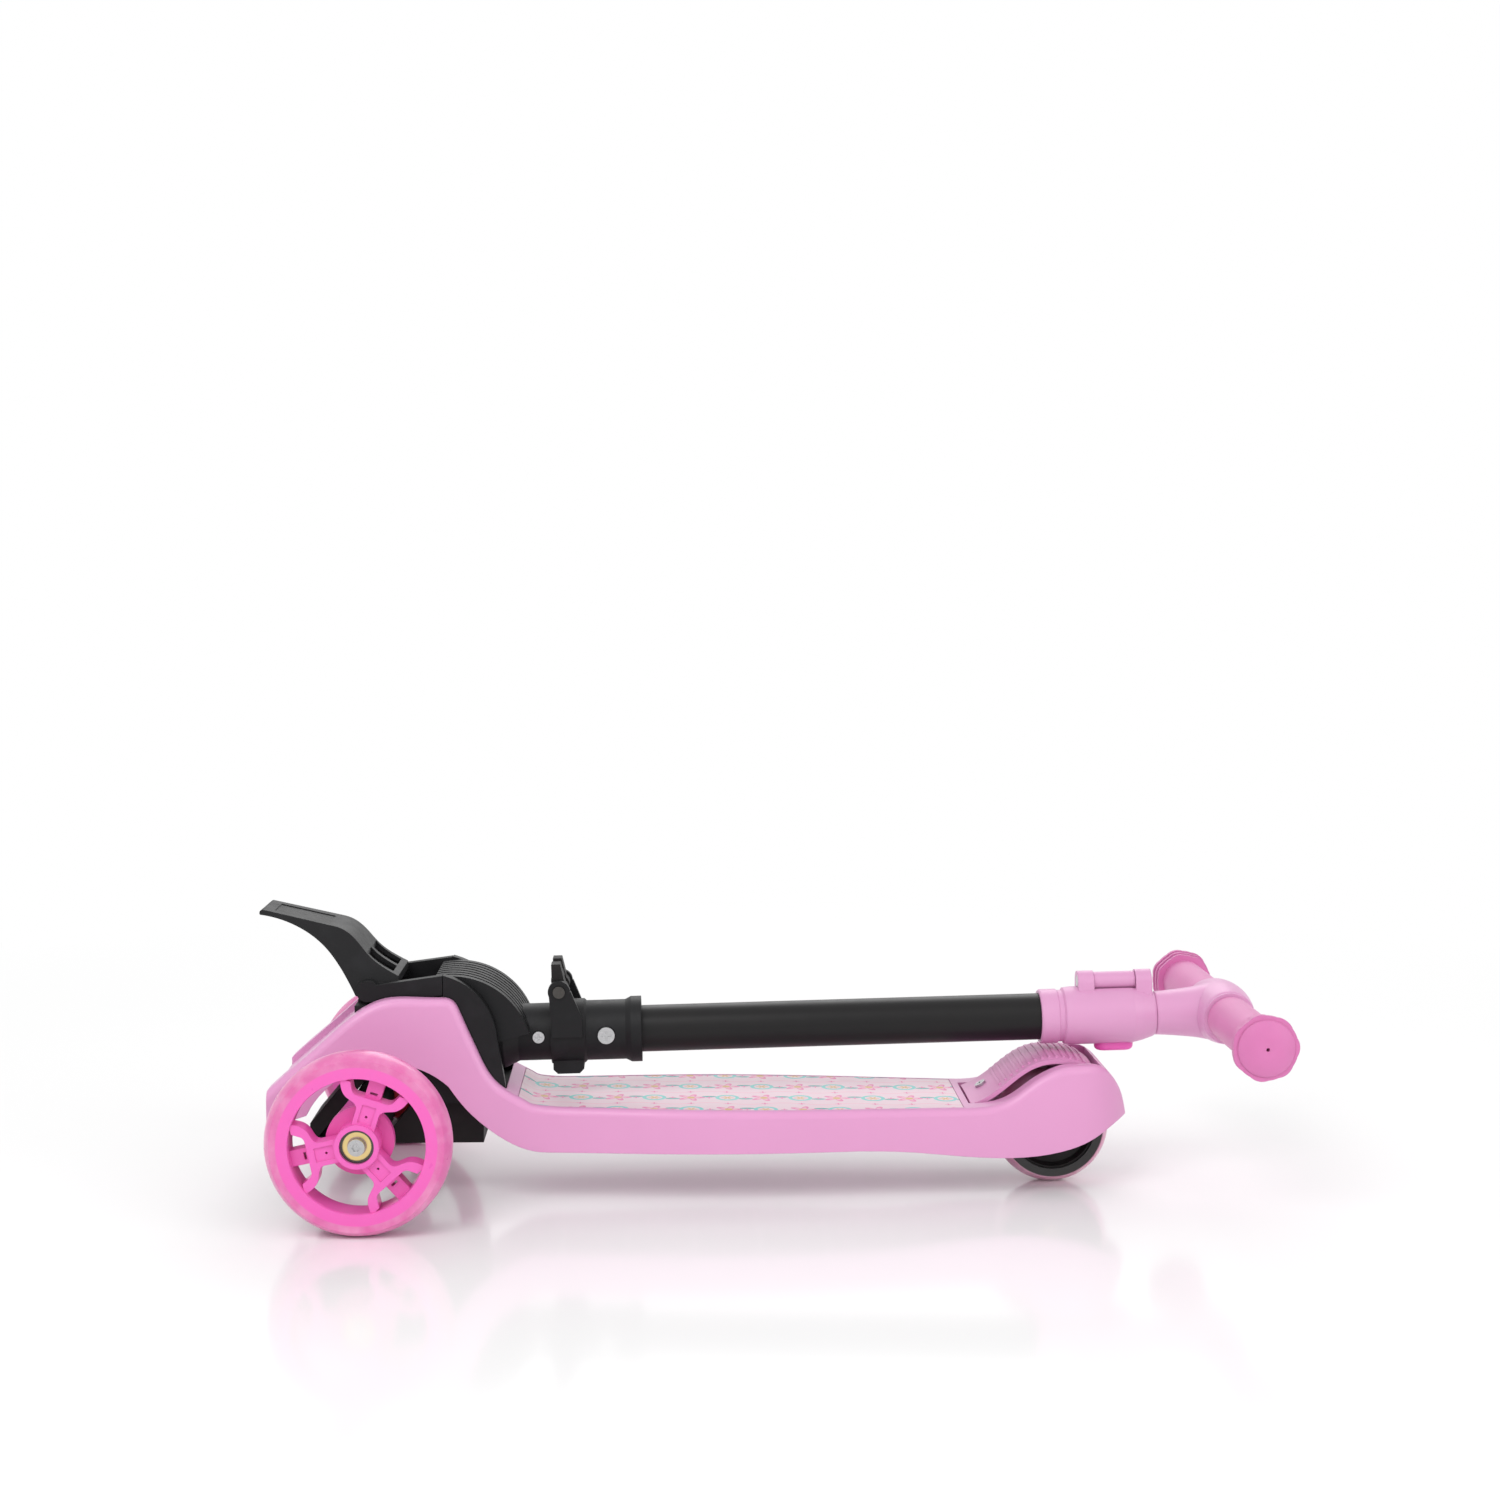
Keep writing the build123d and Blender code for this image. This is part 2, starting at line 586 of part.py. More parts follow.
def release_pedal():
    """Foot pedal that frees the column: a hollow treadle on two arms, with two slots for the latch."""
    wide = HOUSING_HALF_WIDTH
    outline = pedal_outline()
    body = side_solid(outline, -wide, wide) & pedal_draft(0)
    low = PEDAL_Z - 40
    skirt = Polyline(PEDAL_HEEL, (PEDAL_HEEL[0], low), (PEDAL_TIP[0], low), PEDAL_TIP)
    hollow = side_solid(eroded(make_face(pedal_top() + [skirt]), PEDAL_WALL).edges(), -wide, wide)
    pedal = body - (hollow & pedal_draft(PEDAL_WALL))
    pedal += side_solid(outline, -PEDAL_WALL / 2, PEDAL_WALL / 2)
    for span in mirrored(PEDAL_WALL, EAR_OUTER - 2):
        pedal -= block(PEDAL_X - 2, PEDAL_X + 15.5, *span, low, PEDAL_Z + 60)
    for span in mirrored(ARM_INNER, ARM_OUTER):
        pedal += side_solid(pedal_arm(), *span)
        pedal += cross_pin(PEDAL_X, PEDAL_Z, PEDAL_PIN_DIAMETER / 2 + 4.3, *span)
    drum_room = cross_pin(HINGE_X, HINGE_Z, DRUM_RADIUS + 2, -wide, wide)
    for span in mirrored(PEDAL_FOOT_HALF_WIDTH - 4, ARM_INNER + 1):
        pedal += block(PEDAL_X - 4.5, PEDAL_X + 19.5, *span, PEDAL_Z - 3, PEDAL_Z + 4) - drum_room
    panel = polygon(at_pedal(-65, 53), at_pedal(-28, 44.4), at_pedal(-28, 42), at_pedal(-65, 50.6))
    pedal -= side_solid(panel, -PEDAL_TIP_HALF_WIDTH + 6, PEDAL_TIP_HALF_WIDTH - 6)
    return pedal - cross_pin(PEDAL_X, PEDAL_Z, PEDAL_PIN_DIAMETER / 2 + RUN_GAP, PIN_LEFT - SEAT_GAP, wide)


def pedal_pin():
    """Pivot pin of the release pedal."""
    return cross_pin(PEDAL_X, PEDAL_Z, PEDAL_PIN_DIAMETER / 2, PIN_LEFT, ARM_OUTER)


def pedal_spring():
    """Torsion spring on the pedal pin."""
    wire = 1.6
    spring = coil(PEDAL_PIN_DIAMETER / 2 + wire / 2 + SEAT_GAP, wire, 5, 2.4)
    return Plane((PEDAL_X, EAR_INNER - 1.5, PEDAL_Z), z_dir=(0, -1, 0)) * spring


# Steering truck
def along_kingpin(t, u):
    """Point in X and Z, t along the kingpin and u square to it."""
    c, s = cos(radians(KINGPIN_SLOPE)), sin(radians(KINGPIN_SLOPE))
    return (-c * t + s * u, KINGPIN_HEIGHT + s * t + c * u)


def square_to_kingpin(t, z):
    """Point at height z on the plane square to the kingpin at t."""
    foot_x, foot_z = along_kingpin(t, 0)
    return (foot_x + (z - foot_z) * tan(radians(KINGPIN_SLOPE)), z)


def kingpin_rod(radius, start, end):
    """Cylinder on the kingpin's axis."""
    return extrude(KINGPIN_PLANE.offset(start) * Circle(radius), amount=end - start)


def steering_bracket():
    """Cradle under the hood that holds the kingpin at both ends."""
    half = BRACKET_HALF_WIDTH
    plate_top = BRACKET_BOTTOM + BRACKET_PLATE
    front = FRONT_LUG_FACE + LUG_THICKNESS
    rear = REAR_LUG_FACE - LUG_THICKNESS
    toe = square_to_kingpin(front, BRACKET_BOTTOM + 14)
    outline = polygon(
        square_to_kingpin(REAR_LUG_FACE, SLOT_FLOOR), (BRACKET_END, SLOT_FLOOR),
        (BRACKET_END, BRACKET_BOTTOM),
        (toe[0], BRACKET_BOTTOM), toe, along_kingpin(front, KINGPIN_DIAMETER / 2 + 8),
        along_kingpin(FRONT_LUG_FACE, KINGPIN_DIAMETER / 2 + 4), square_to_kingpin(FRONT_LUG_FACE, plate_top),
        square_to_kingpin(REAR_LUG_FACE, plate_top),
    )
    bracket = side_solid(outline, -half, half)
    wall = 4
    pocket_top = SLOT_FLOOR - BRACKET_FOOT
    bracket -= block(BRACKET_END - 38, BRACKET_END - wall, wall - half, half - wall, 0, pocket_top)
    bracket -= kingpin_rod(KINGPIN_DIAMETER / 2 + RUN_GAP, REAR_LUG_FACE - 40, front + 20)
    bracket -= kingpin_rod(KINGPIN_DIAMETER, rear - 60, rear)
    for x, y in BRACKET_SCREWS:
        bracket -= Pos(x, y, SLOT_FLOOR) * Cylinder(SCREW_DIAMETER / 2 + RUN_GAP, 2 * BRACKET_FOOT + 4)
    return bracket


def kingpin():
    """Inclined steering bolt with its head behind the rear lug."""
    seat = REAR_LUG_FACE - LUG_THICKNESS
    bolt = kingpin_rod(KINGPIN_DIAMETER / 2, seat, FRONT_LUG_FACE + LUG_THICKNESS + 10)
    return bolt + KINGPIN_PLANE.offset(seat - 5) * hex_head(KINGPIN_DIAMETER * 1.5, 5)


def kingpin_nut():
    """Nut on the front end of the kingpin."""
    seat = FRONT_LUG_FACE + LUG_THICKNESS
    nut = KINGPIN_PLANE.offset(seat) * hex_head(KINGPIN_DIAMETER * 1.6, 8)
    return nut - kingpin_rod(KINGPIN_DIAMETER / 2 + RUN_GAP, seat - 1, seat + 9)


def steer_bush():
    """Red elastic bush that brings the steering back to straight ahead."""
    start = REAR_LUG_FACE
    end = start + BUSH_LENGTH
    bore = KINGPIN_DIAMETER / 2 + RUN_GAP
    bulge = ThreePointArc((BUSH_RADIUS, start), (BUSH_RADIUS + 1.5, (start + end) / 2), (BUSH_RADIUS, end))
    ends = Polyline((BUSH_RADIUS, end), (bore, end), (bore, start), (BUSH_RADIUS, start))
    return KINGPIN_PLANE * revolve(Plane.XZ * make_face([bulge, ends]), Axis.Z)


def truck_beam():
    """Front axle beam: a boss on the kingpin and a tapered, pocketed arm to each wheel."""
    beam = kingpin_rod(BOSS_RADIUS, -BOSS_HALF_LENGTH, BOSS_HALF_LENGTH)
    axle_z = FRONT_WHEEL_DIAMETER / 2
    wheel_face = (TRACK - FRONT_WHEEL_WIDTH) / 2
    tip = wheel_face - 2
    stub_end = wheel_face + BEARING_INSET - SEAT_GAP
    bolt_root = wheel_face - AXLE_BOLT_DEPTH
    for side in (-1, 1):
        plane = Plane((0, 0, axle_z), x_dir=(1, 0, 0), z_dir=(0, side, 0))
        root_section = plane * RectangleRounded(BEAM_SIZE, BEAM_SIZE, 4)
        tip_section = plane.offset(tip) * RectangleRounded(BEAM_TIP_SIZE, BEAM_TIP_SIZE, 4)
        beam += loft([root_section, tip_section])
        beam += extrude(plane.offset(tip) * Circle(STUB_RADIUS), amount=stub_end - tip)
        for pocket in range(2):
            y = side * (BRACKET_HALF_WIDTH + 12 + 20 * pocket)
            beam -= Pos(0, y, axle_z - BEAM_SIZE / 2) * Box(BEAM_TIP_SIZE - 7, 15, BEAM_SIZE * 0.5)
        beam -= extrude(plane.offset(bolt_root) * Circle(AXLE_DIAMETER / 2 + RUN_GAP), amount=TRACK)
    beam -= kingpin_rod(BOSS_RADIUS + 0.5, -4 * BOSS_HALF_LENGTH, -BOSS_HALF_LENGTH)
    return beam - kingpin_rod(KINGPIN_DIAMETER / 2 + RUN_GAP, -40, 40)


def axle_bolt():
    """Socket-head bolt of a front wheel about local Z."""
    seat = FRONT_WHEEL_WIDTH / 2 - BEARING_INSET
    root = -FRONT_WHEEL_WIDTH / 2 - AXLE_BOLT_DEPTH + SEAT_GAP
    bolt = Pos(0, 0, (root + seat) / 2) * Cylinder(AXLE_DIAMETER / 2, seat - root)
    bolt += Pos(0, 0, seat + SEAT_GAP + 2) * Cylinder(AXLE_DIAMETER / 2 + 1.4, 4)
    bolt += Pos(0, 0, seat) * Cylinder(AXLE_DIAMETER / 2, 4)
    return bolt - Pos(0, 0, seat + 2.3) * hex_head(AXLE_DIAMETER * 0.62, 5)


# Wheels
def bearing_low(width):
    """Inner face of the outer bearing in a hub of the given width."""
    return width / 2 - BEARING_INSET - BEARING_WIDTH


def wheel_bearings(width):
    """Two ball bearings with sunken shields, about local Z."""
    outer = BEARING_DIAMETER / 2
    bore = AXLE_DIAMETER / 2 + RUN_GAP
    inner_race = bore + 2
    outer_race = outer - 2
    shield = 0.6
    ring = turned(
        (bore, 0), (inner_race, 0), (inner_race, shield), (outer_race, shield), (outer_race, 0), (outer, 0),
        (outer, BEARING_WIDTH), (outer_race, BEARING_WIDTH), (outer_race, BEARING_WIDTH - shield),
        (inner_race, BEARING_WIDTH - shield), (inner_race, BEARING_WIDTH), (bore, BEARING_WIDTH),
    )
    low = bearing_low(width)
    return Compound([Pos(0, 0, low) * ring, Pos(0, 0, -low - BEARING_WIDTH) * ring])


def bearing_room(width):
    """Seats of both bearings and the hole between them, about local Z."""
    seat = turned((0, 0), (BEARING_DIAMETER / 2, 0), (BEARING_DIAMETER / 2, width), (0, width))
    low = bearing_low(width)
    middle = Cylinder(BEARING_DIAMETER / 2 - 2.5, width)
    return middle + Pos(0, 0, low) * seat + Pos(0, 0, -low - width) * seat


def tyre(radius, rim, lip, width):
    """Soft tyre with a round tread, keyed to the rim's rib and lapped over its edges, about local Z."""
    half = width / 2
    seat = half - BEAD
    shoulder = radius - 4.5
    tread = ThreePointArc((shoulder, half), (radius, 0), (shoulder, -half))
    rest = Polyline(
        (shoulder, -half), (rim - lip, 0.8 - half), (rim - lip, -seat), (rim, -seat), (rim, -RIM_RIB),
        (rim + RIM_RIB, -RIM_RIB), (rim + RIM_RIB, RIM_RIB), (rim, RIM_RIB), (rim, seat), (rim - lip, seat),
        (rim - lip, half - 0.8), (shoulder, half),
    )
    return revolve(Plane.XZ * make_face([tread, rest]), Axis.Z)


def fork_plate(rim, hub):
    """Outline of one spoke along local X: a straight arm that opens into a cup with flared walls."""
    half = SPOKE_WIDTH / 2
    tip = (rim * cos(radians(31)), rim * sin(radians(31)))
    cheek = Spline(
        (FORK_RADIUS - 9, half), (FORK_RADIUS - 3, half + 8.5), (FORK_RADIUS + 2.2, half + 13.5), tip,
        tangents=[(1, 0.1), (1, 0.5)],
    )
    straight = Polyline(tip, (tip[0], 0), (hub, 0), (hub, half), (FORK_RADIUS - 9, half))
    side = make_face([cheek, straight])
    cup = Polyline(
        (FORK_RADIUS, 0), (FORK_RADIUS, half + 5), (rim + 5, half + 15), (rim + 5, 0), close=True,
    )
    side -= fillet(make_face(cup).vertices().sort_by(Axis.X)[:2].sort_by(Axis.Y)[-1:], 4.5)
    return side + mirror(side, Plane.XZ)


def spoke():
    """One spoke along local X, with its sunken panel and the set-back tab that bridges its cup."""
    rim = FRONT_RIM_DIAMETER / 2 - RIM_BAND / 2
    hub = BEARING_DIAMETER / 2 + 1
    face = FRONT_WHEEL_WIDTH / 2 - BEAD
    arm = extrude(Pos(0, 0, -4) * fork_plate(rim, hub), face + 4)
    panel_start = BEARING_DIAMETER / 2 + 4
    panel_end = FORK_RADIUS - 4.5
    arm -= block(panel_start, panel_end, 3 - SPOKE_WIDTH / 2, SPOKE_WIDTH / 2 - 3, face - 1, face + 1)
    arm -= Pos((panel_start + panel_end) / 2 - 1.3, 0, face) * Cylinder(0.8, 10)
    tab = block(FORK_RADIUS - 2, rim, -5.2, 5.2, -7, 4)
    arm += tab - block(FORK_RADIUS + 1.8, FORK_RADIUS + 3.4, -2.4, 2.4, -8, 5)
    return arm & Cylinder(rim, 2 * FRONT_WHEEL_WIDTH)


def front_hub():
    """Three-spoke moulded hub about local Z, outer side up."""
    width = FRONT_WHEEL_WIDTH
    rim = FRONT_RIM_DIAMETER / 2
    inner = rim - RIM_BAND
    half = width / 2 - BEAD
    hub = turned(
        (inner, -half), (rim, -half), (rim, -RIM_RIB), (rim + RIM_RIB, -RIM_RIB), (rim + RIM_RIB, RIM_RIB),
        (rim, RIM_RIB), (rim, half), (inner, half),
    )
    for count in range(SPOKE_COUNT):
        hub += Rot(0, 0, SPOKE_START_ANGLE + count * 360 / SPOKE_COUNT) * spoke()
    hub += Cylinder(BEARING_DIAMETER / 2 + 3.3, width)
    hub += Pos(0, 0, 3 - width / 2) * Cylinder(BEARING_DIAMETER, 6)
    return hub - bearing_room(width)


def rear_core():
    """Dished disc core of the rear wheel about local Z."""
    width = REAR_WHEEL_WIDTH
    rim = REAR_CORE_DIAMETER / 2
    half = width / 2 - BEAD
    dish = half - 4
    nave = BEARING_DIAMETER / 2 + 4
    core = turned(
        (0, -half), (nave, -half), (nave + 2, -dish), (rim - 5, -dish), (rim - 3, -half), (rim, -half),
        (rim, -RIM_RIB), (rim + RIM_RIB, -RIM_RIB), (rim + RIM_RIB, RIM_RIB), (rim, RIM_RIB),
        (rim, half), (rim - 3, half), (rim - 5, dish), (nave + 2, dish), (nave, half), (0, half),
    )
    return core - bearing_room(width)


def rear_axle():
    """Rear axle bolt through the walls of the wheel well."""
    half = WELL_HALF_WIDTH + WELL_WALL
    bolt = cross_pin(WHEELBASE, REAR_AXLE_Z, AXLE_DIAMETER / 2, -half, half + 5)
    return bolt + cross_pin(WHEELBASE, REAR_AXLE_Z, AXLE_DIAMETER / 2 + 2.5, -half - 4, -half)


def rear_axle_nut():
    """Nut on the right end of the rear axle."""
    half = WELL_HALF_WIDTH + WELL_WALL
    nut = Plane((WHEELBASE, half, REAR_AXLE_Z), z_dir=(0, 1, 0)) * hex_head(AXLE_DIAMETER + 5, 4.5)
    return nut - cross_pin(WHEELBASE, REAR_AXLE_Z, AXLE_DIAMETER / 2 + RUN_GAP, half - 1, half + 9)


def rear_spacers():
    """Sleeves that hold the rear wheel in the middle of its well."""
    inner = REAR_WHEEL_WIDTH / 2 - BEARING_INSET + SEAT_GAP
    hole = cross_pin(WHEELBASE, REAR_AXLE_Z, AXLE_DIAMETER / 2 + RUN_GAP, -WELL_HALF_WIDTH, WELL_HALF_WIDTH)
    sleeves = []
    for span in mirrored(inner, WELL_HALF_WIDTH):
        sleeves.append(cross_pin(WHEELBASE, REAR_AXLE_Z, AXLE_DIAMETER / 2 + 2, *span) - hole)
    return Compound(sleeves)


# Fender brake
def brake_ridge():
    """Ridge line of the brake pedal, over the rear wheel."""
    top = REAR_WHEEL_DIAMETER
    return Plane.XZ * Spline(
        (WELL_START + 1.2, DECK_HEIGHT - 2.8), (WHEELBASE - 38.5, top - 5.5), (WHEELBASE - 28.5, top + 2.5),
        (WHEELBASE - 16.5, top + 9.5), (WHEELBASE - 3.5, top + 12.4), (WHEELBASE + 11.5, top + 11),
        (WHEELBASE + 25.5, top + 5.5),
    )


def ridge_plane(ridge, place):
    """Plane square to the ridge, its Y axis pointing up from the pedal."""
    return Plane(ridge @ place, x_dir=(0, 1, 0), z_dir=ridge % place)


def brake_arch(half, rise, thickness):
    """Arched strip in section, its crown at the origin."""
    crown = rise * (half / BRAKE_HALF_WIDTH) ** 2
    upper = ThreePointArc((-half, -crown), (0, 0), (half, -crown))
    lower = ThreePointArc((half, -crown - thickness), (0, -thickness), (-half, -crown - thickness))
    return make_face([upper, Line(upper @ 1, lower @ 0), lower, Line(lower @ 1, upper @ 0)])


def brake_pedal():
    """Arched fender brake with ribs across its tread, on two lugs round the brake pin."""
    ridge = brake_ridge()
    pedal = sweep(ridge_plane(ridge, 0) * brake_arch(BRAKE_HALF_WIDTH, BRAKE_CROWN, BRAKE_SHEET), ridge)
    rib = extrude(brake_arch(BRAKE_HALF_WIDTH - 5, BRAKE_CROWN, BRAKE_RIB_HEIGHT + 1), 1, both=True)
    for count in range(BRAKE_RIBS):
        place = 0.25 + 0.68 * count / (BRAKE_RIBS - 1)
        pedal += ridge_plane(ridge, place) * Pos(0, BRAKE_RIB_HEIGHT, 0) * rib
    lug = polygon(
        (BRAKE_X - 4.5, BRAKE_Z), (BRAKE_X + 4.5, BRAKE_Z), (BRAKE_X + 10, BRAKE_Z + 13),
        (BRAKE_X, BRAKE_Z + 7.5),
    )
    for span in mirrored(10, 16):
        pedal += side_solid(lug, *span)
        pedal += cross_pin(BRAKE_X, BRAKE_Z, BRAKE_PIN_DIAMETER / 2 + 2.5, *span)
    place = brake_screw_place(ridge)
    pedal -= place * Cylinder(SCREW_DIAMETER * 0.4 + RUN_GAP, 20)
    pedal -= place * Pos(0, 0, 5) * Cylinder(SCREW_DIAMETER * 0.8 + SEAT_GAP, 10)
    half = WELL_HALF_WIDTH
    return pedal - cross_pin(BRAKE_X, BRAKE_Z, BRAKE_PIN_DIAMETER / 2 + RUN_GAP, -half, half)


def brake_screw_place(ridge):
    """Plane on the brake's tread near its hinge, its Z axis pointing up from the pedal."""
    tread = ridge_plane(ridge, 0.13)
    return Plane(tread.origin, x_dir=(0, 1, 0), z_dir=tread.y_dir)


def brake_screw():
    """Screw in the brake pedal near its hinge."""
    height = 1.8
    screw = Pos(0, 0, -BRAKE_SHEET / 2) * Cylinder(SCREW_DIAMETER * 0.4, BRAKE_SHEET)
    screw += Pos(0, 0, height / 2) * Cylinder(SCREW_DIAMETER * 0.8, height)
    screw -= Pos(0, 0, height) * cross_recess(SCREW_DIAMETER, 1)
    return brake_screw_place(brake_ridge()) * screw


def brake_pad(pedal):
    """Pad under the brake pedal, hollowed to the tyre's curve."""
    reach = REAR_WHEEL_DIAMETER / 2 + BRAKE_REST_GAP
    pad = block(WHEELBASE - 15, WHEELBASE + 13, -11, 11, REAR_AXLE_Z + 30, REAR_WHEEL_DIAMETER + 8)
    pad -= cross_pin(WHEELBASE, REAR_AXLE_Z, reach, -12, 12)
    return pad - pedal


def brake_pin():
    """Hinge pin of the brake through the walls of the wheel well."""
    half = WELL_HALF_WIDTH + WELL_WALL
    return cross_pin(BRAKE_X, BRAKE_Z, BRAKE_PIN_DIAMETER / 2, -half, half)


def brake_spring():
    """Return spring wound on the brake pin."""
    wire = 1.2
    turns = 5
    pitch = 2.4
    spring = coil(BRAKE_PIN_DIAMETER / 2 + wire / 2 + SEAT_GAP, wire, turns, pitch)
    return Plane((BRAKE_X, turns * pitch / 2, BRAKE_Z), z_dir=(0, -1, 0)) * spring


# Column
def drum():
    """Ribbed drum sector that closes the housing's slot, with the hinge hub."""
    r = DRUM_RADIUS
    start, middle, end = [(r * cos(radians(a)), r * sin(radians(a))) for a in (14, 60, DRUM_END_ANGLE)]
    sector = [ThreePointArc(start, middle, end), Polyline(end, (0, 0), start)]
    solid = stem_solid(sector, -DRUM_HALF_WIDTH, DRUM_HALF_WIDTH)
    pitch = 2 * DRUM_HALF_WIDTH / DRUM_RIBS
    for count in range(1, DRUM_RIBS):
        y = -DRUM_HALF_WIDTH + count * pitch
        span = (y - 1.6, y + 1.6)
        solid -= cross_pin(HINGE_X, HINGE_Z, r + 1, *span) - cross_pin(HINGE_X, HINGE_Z, r - 2.5, *span)
    return solid + cross_pin(HINGE_X, HINGE_Z, HINGE_BOLT_DIAMETER / 2 + 18, -HUB_FACE, HUB_FACE)


def latch_band():
    """Band round the shank with the latch's two ears on top and a tab underneath."""
    top = STEM_OFFSET + 13
    low = STEM_OFFSET - 27.5
    start, end = BAND_START + 1, BAND_END - 1
    tab = polygon(
        (start, STEM_OFFSET - 14), (end, STEM_OFFSET - 14), (end, low + 3), (end - 3, low), (start + 3, low),
        (start, low + 3),
    )
    band = stem_solid(tab, -12, 12)
    ear = polygon((start, top), (end, top), (LATCH_S + 8, LATCH_H), (LATCH_S - 7, LATCH_H))
    shoulder = polygon((start, STEM_OFFSET), (end, STEM_OFFSET), (end, top), (start, top))
    outer = LATCH_EAR_INNER + LATCH_EAR_WALL
    for ear_span, shoulder_span in zip(mirrored(LATCH_EAR_INNER, outer), mirrored(12, outer)):
        band += stem_solid(ear, *ear_span)
        band += stem_rod(LATCH_S, LATCH_H, LATCH_PIN_DIAMETER / 2 + 5, *ear_span)
        band += stem_solid(shoulder, *shoulder_span)
    return band


def stem_base():
    """Moulded foot of the column: drum, shank, latch band and bell round the tube."""
    shank, length = SHANK_RADIUS, STEM_BASE_LENGTH
    base = drum() + latch_band() + stem_turned(
        (0, 0), (shank + 4.5, 0), (shank + 4.5, 34), (shank, 44), (shank, BAND_START),
        (shank + 2.5, BAND_START), (shank + 2.5, BAND_END), (shank + 1, BAND_END + 1.5),
        (shank + 1, length - 11), (shank + 3, length - 7), (shank + 3, length), (0, length),
    )
    reach = 2 * SHANK_RADIUS
    base -= stem_rod(LATCH_S, LATCH_H, LATCH_PIN_DIAMETER / 2 + RUN_GAP, -reach, reach)
    base -= cross_pin(HINGE_X, HINGE_Z, HINGE_BOLT_DIAMETER / 2 + RUN_GAP, -reach, reach)
    base -= stem_tube(TUBE_DIAMETER / 2 + RUN_GAP, 0, TUBE_ROOT, length + 1)
    for s, surface, head in STEM_BOLTS:
        base -= stem_rod(s, STEM_OFFSET, STEM_BOLT_DIAMETER / 2 + RUN_GAP, -reach, reach)
        for span in mirrored(surface - 0.8, reach):
            base -= stem_rod(s, STEM_OFFSET, head + SEAT_GAP, *span)
    return base


def stem_bolts():
    """Cross bolts of the stem base, each with a washer head on both sides."""
    bolts = []
    for s, surface, head in STEM_BOLTS:
        bolt = stem_rod(s, STEM_OFFSET, STEM_BOLT_DIAMETER / 2, -surface, surface)
        for span in mirrored(surface - 0.8, surface + 1.6):
            bolt += stem_rod(s, STEM_OFFSET, head, *span)
        for face in (-surface - 1.6, surface + 1.6):
            bolt -= STEM_SIDE.offset(face) * Pos(s, STEM_OFFSET) * cross_recess(1.2 * head, 1)
        bolts.append(bolt)
    return Compound(bolts)


def latch_tongue():
    """Forked latch on the column; its prongs enter the pedal's slots when the column stands up."""
    outer = LATCH_EAR_INNER - SEAT_GAP
    inner = 6
    tip = LATCH_H + LATCH_LENGTH
    prong = polygon((LATCH_S - 5, LATCH_H), (LATCH_S + 5, LATCH_H), (LATCH_S + 1, tip), (LATCH_S - 5, tip))
    bridge = polygon(
        (LATCH_S - 4.5, LATCH_H + 7), (LATCH_S + 3, LATCH_H + 7), (LATCH_S + 2, LATCH_H + 11),
        (LATCH_S - 4.5, LATCH_H + 11),
    )
    tongue = stem_solid(bridge, -inner - 1, inner + 1)
    for span in mirrored(inner, outer):
        tongue += stem_rod(LATCH_S, LATCH_H, LATCH_PIN_DIAMETER / 2 + 3.5, *span)
    for span in mirrored(inner, outer - 1.5):
        tongue += stem_solid(prong, *span)
    return tongue - stem_rod(LATCH_S, LATCH_H, LATCH_PIN_DIAMETER / 2 + RUN_GAP, -outer - 1, outer + 1)


def latch_pin():
    """Pivot pin of the latch with a head on each end."""
    end = LATCH_EAR_INNER + LATCH_EAR_WALL
    pin = stem_rod(LATCH_S, LATCH_H, LATCH_PIN_DIAMETER / 2, -end, end)
    for span in mirrored(end, end + 1.8):
        pin += stem_rod(LATCH_S, LATCH_H, LATCH_PIN_DIAMETER / 2 + 1.6, *span)
    return pin


def latch_spring():
    """Torsion spring on the latch pin."""
    wire = 1.4
    turns = 4
    pitch = 2.2
    spring = coil(LATCH_PIN_DIAMETER / 2 + wire / 2 + SEAT_GAP, wire, turns, pitch)
    origin = STEM_SIDE.from_local_coords((LATCH_S, LATCH_H, -turns * pitch / 2))
    return Plane(origin, x_dir=STEM_DIRECTION, z_dir=(0, -1, 0)) * spring


def outer_tube():
    """Lower tube of the column."""
    radius = TUBE_DIAMETER / 2
    tube = stem_tube(radius, radius - TUBE_WALL, TUBE_ROOT, TUBE_END)
    hole_s = STEM_BOLTS[0][0]
    return tube - stem_rod(hole_s, STEM_OFFSET, STEM_BOLT_DIAMETER / 2 + RUN_GAP, -radius - 1, radius + 1)


def tube_liner():
    """Plastic liner in the top of the outer tube that guides the inner tube."""
    outer = TUBE_DIAMETER / 2 - TUBE_WALL
    return stem_tube(outer, INNER_TUBE_DIAMETER / 2 + RUN_GAP, TUBE_END - LINER_LENGTH, TUBE_END)


# Quick-release collar
def clamp_rod(radius, start, end):
    """Cylinder along the stem on the lever's axis."""
    return extrude(STEM_AXIS.offset(start) * (Pos(0, CLAMP_RISE) * Circle(radius)), amount=end - start)


def button_prism(grow, near, far):
    """Prism of the height button's outline between two distances below the stem's axis."""
    outline = SlotOverall(BUTTON_LENGTH + 2 * grow, BUTTON_WIDTH + 2 * grow)
    return extrude(below_stem(BUTTON_S).offset(near) * outline, amount=far - near)


def knuckle():
    """Section of a flange that holds the lever's bolt, rising from the stem's axis."""
    crown = ThreePointArc((-8, CLAMP_RISE), (0, CLAMP_RISE + 7), (8, CLAMP_RISE))
    return make_face([crown, Polyline((8, CLAMP_RISE), (9.5, 0), (-9.5, 0), (-8, CLAMP_RISE))])


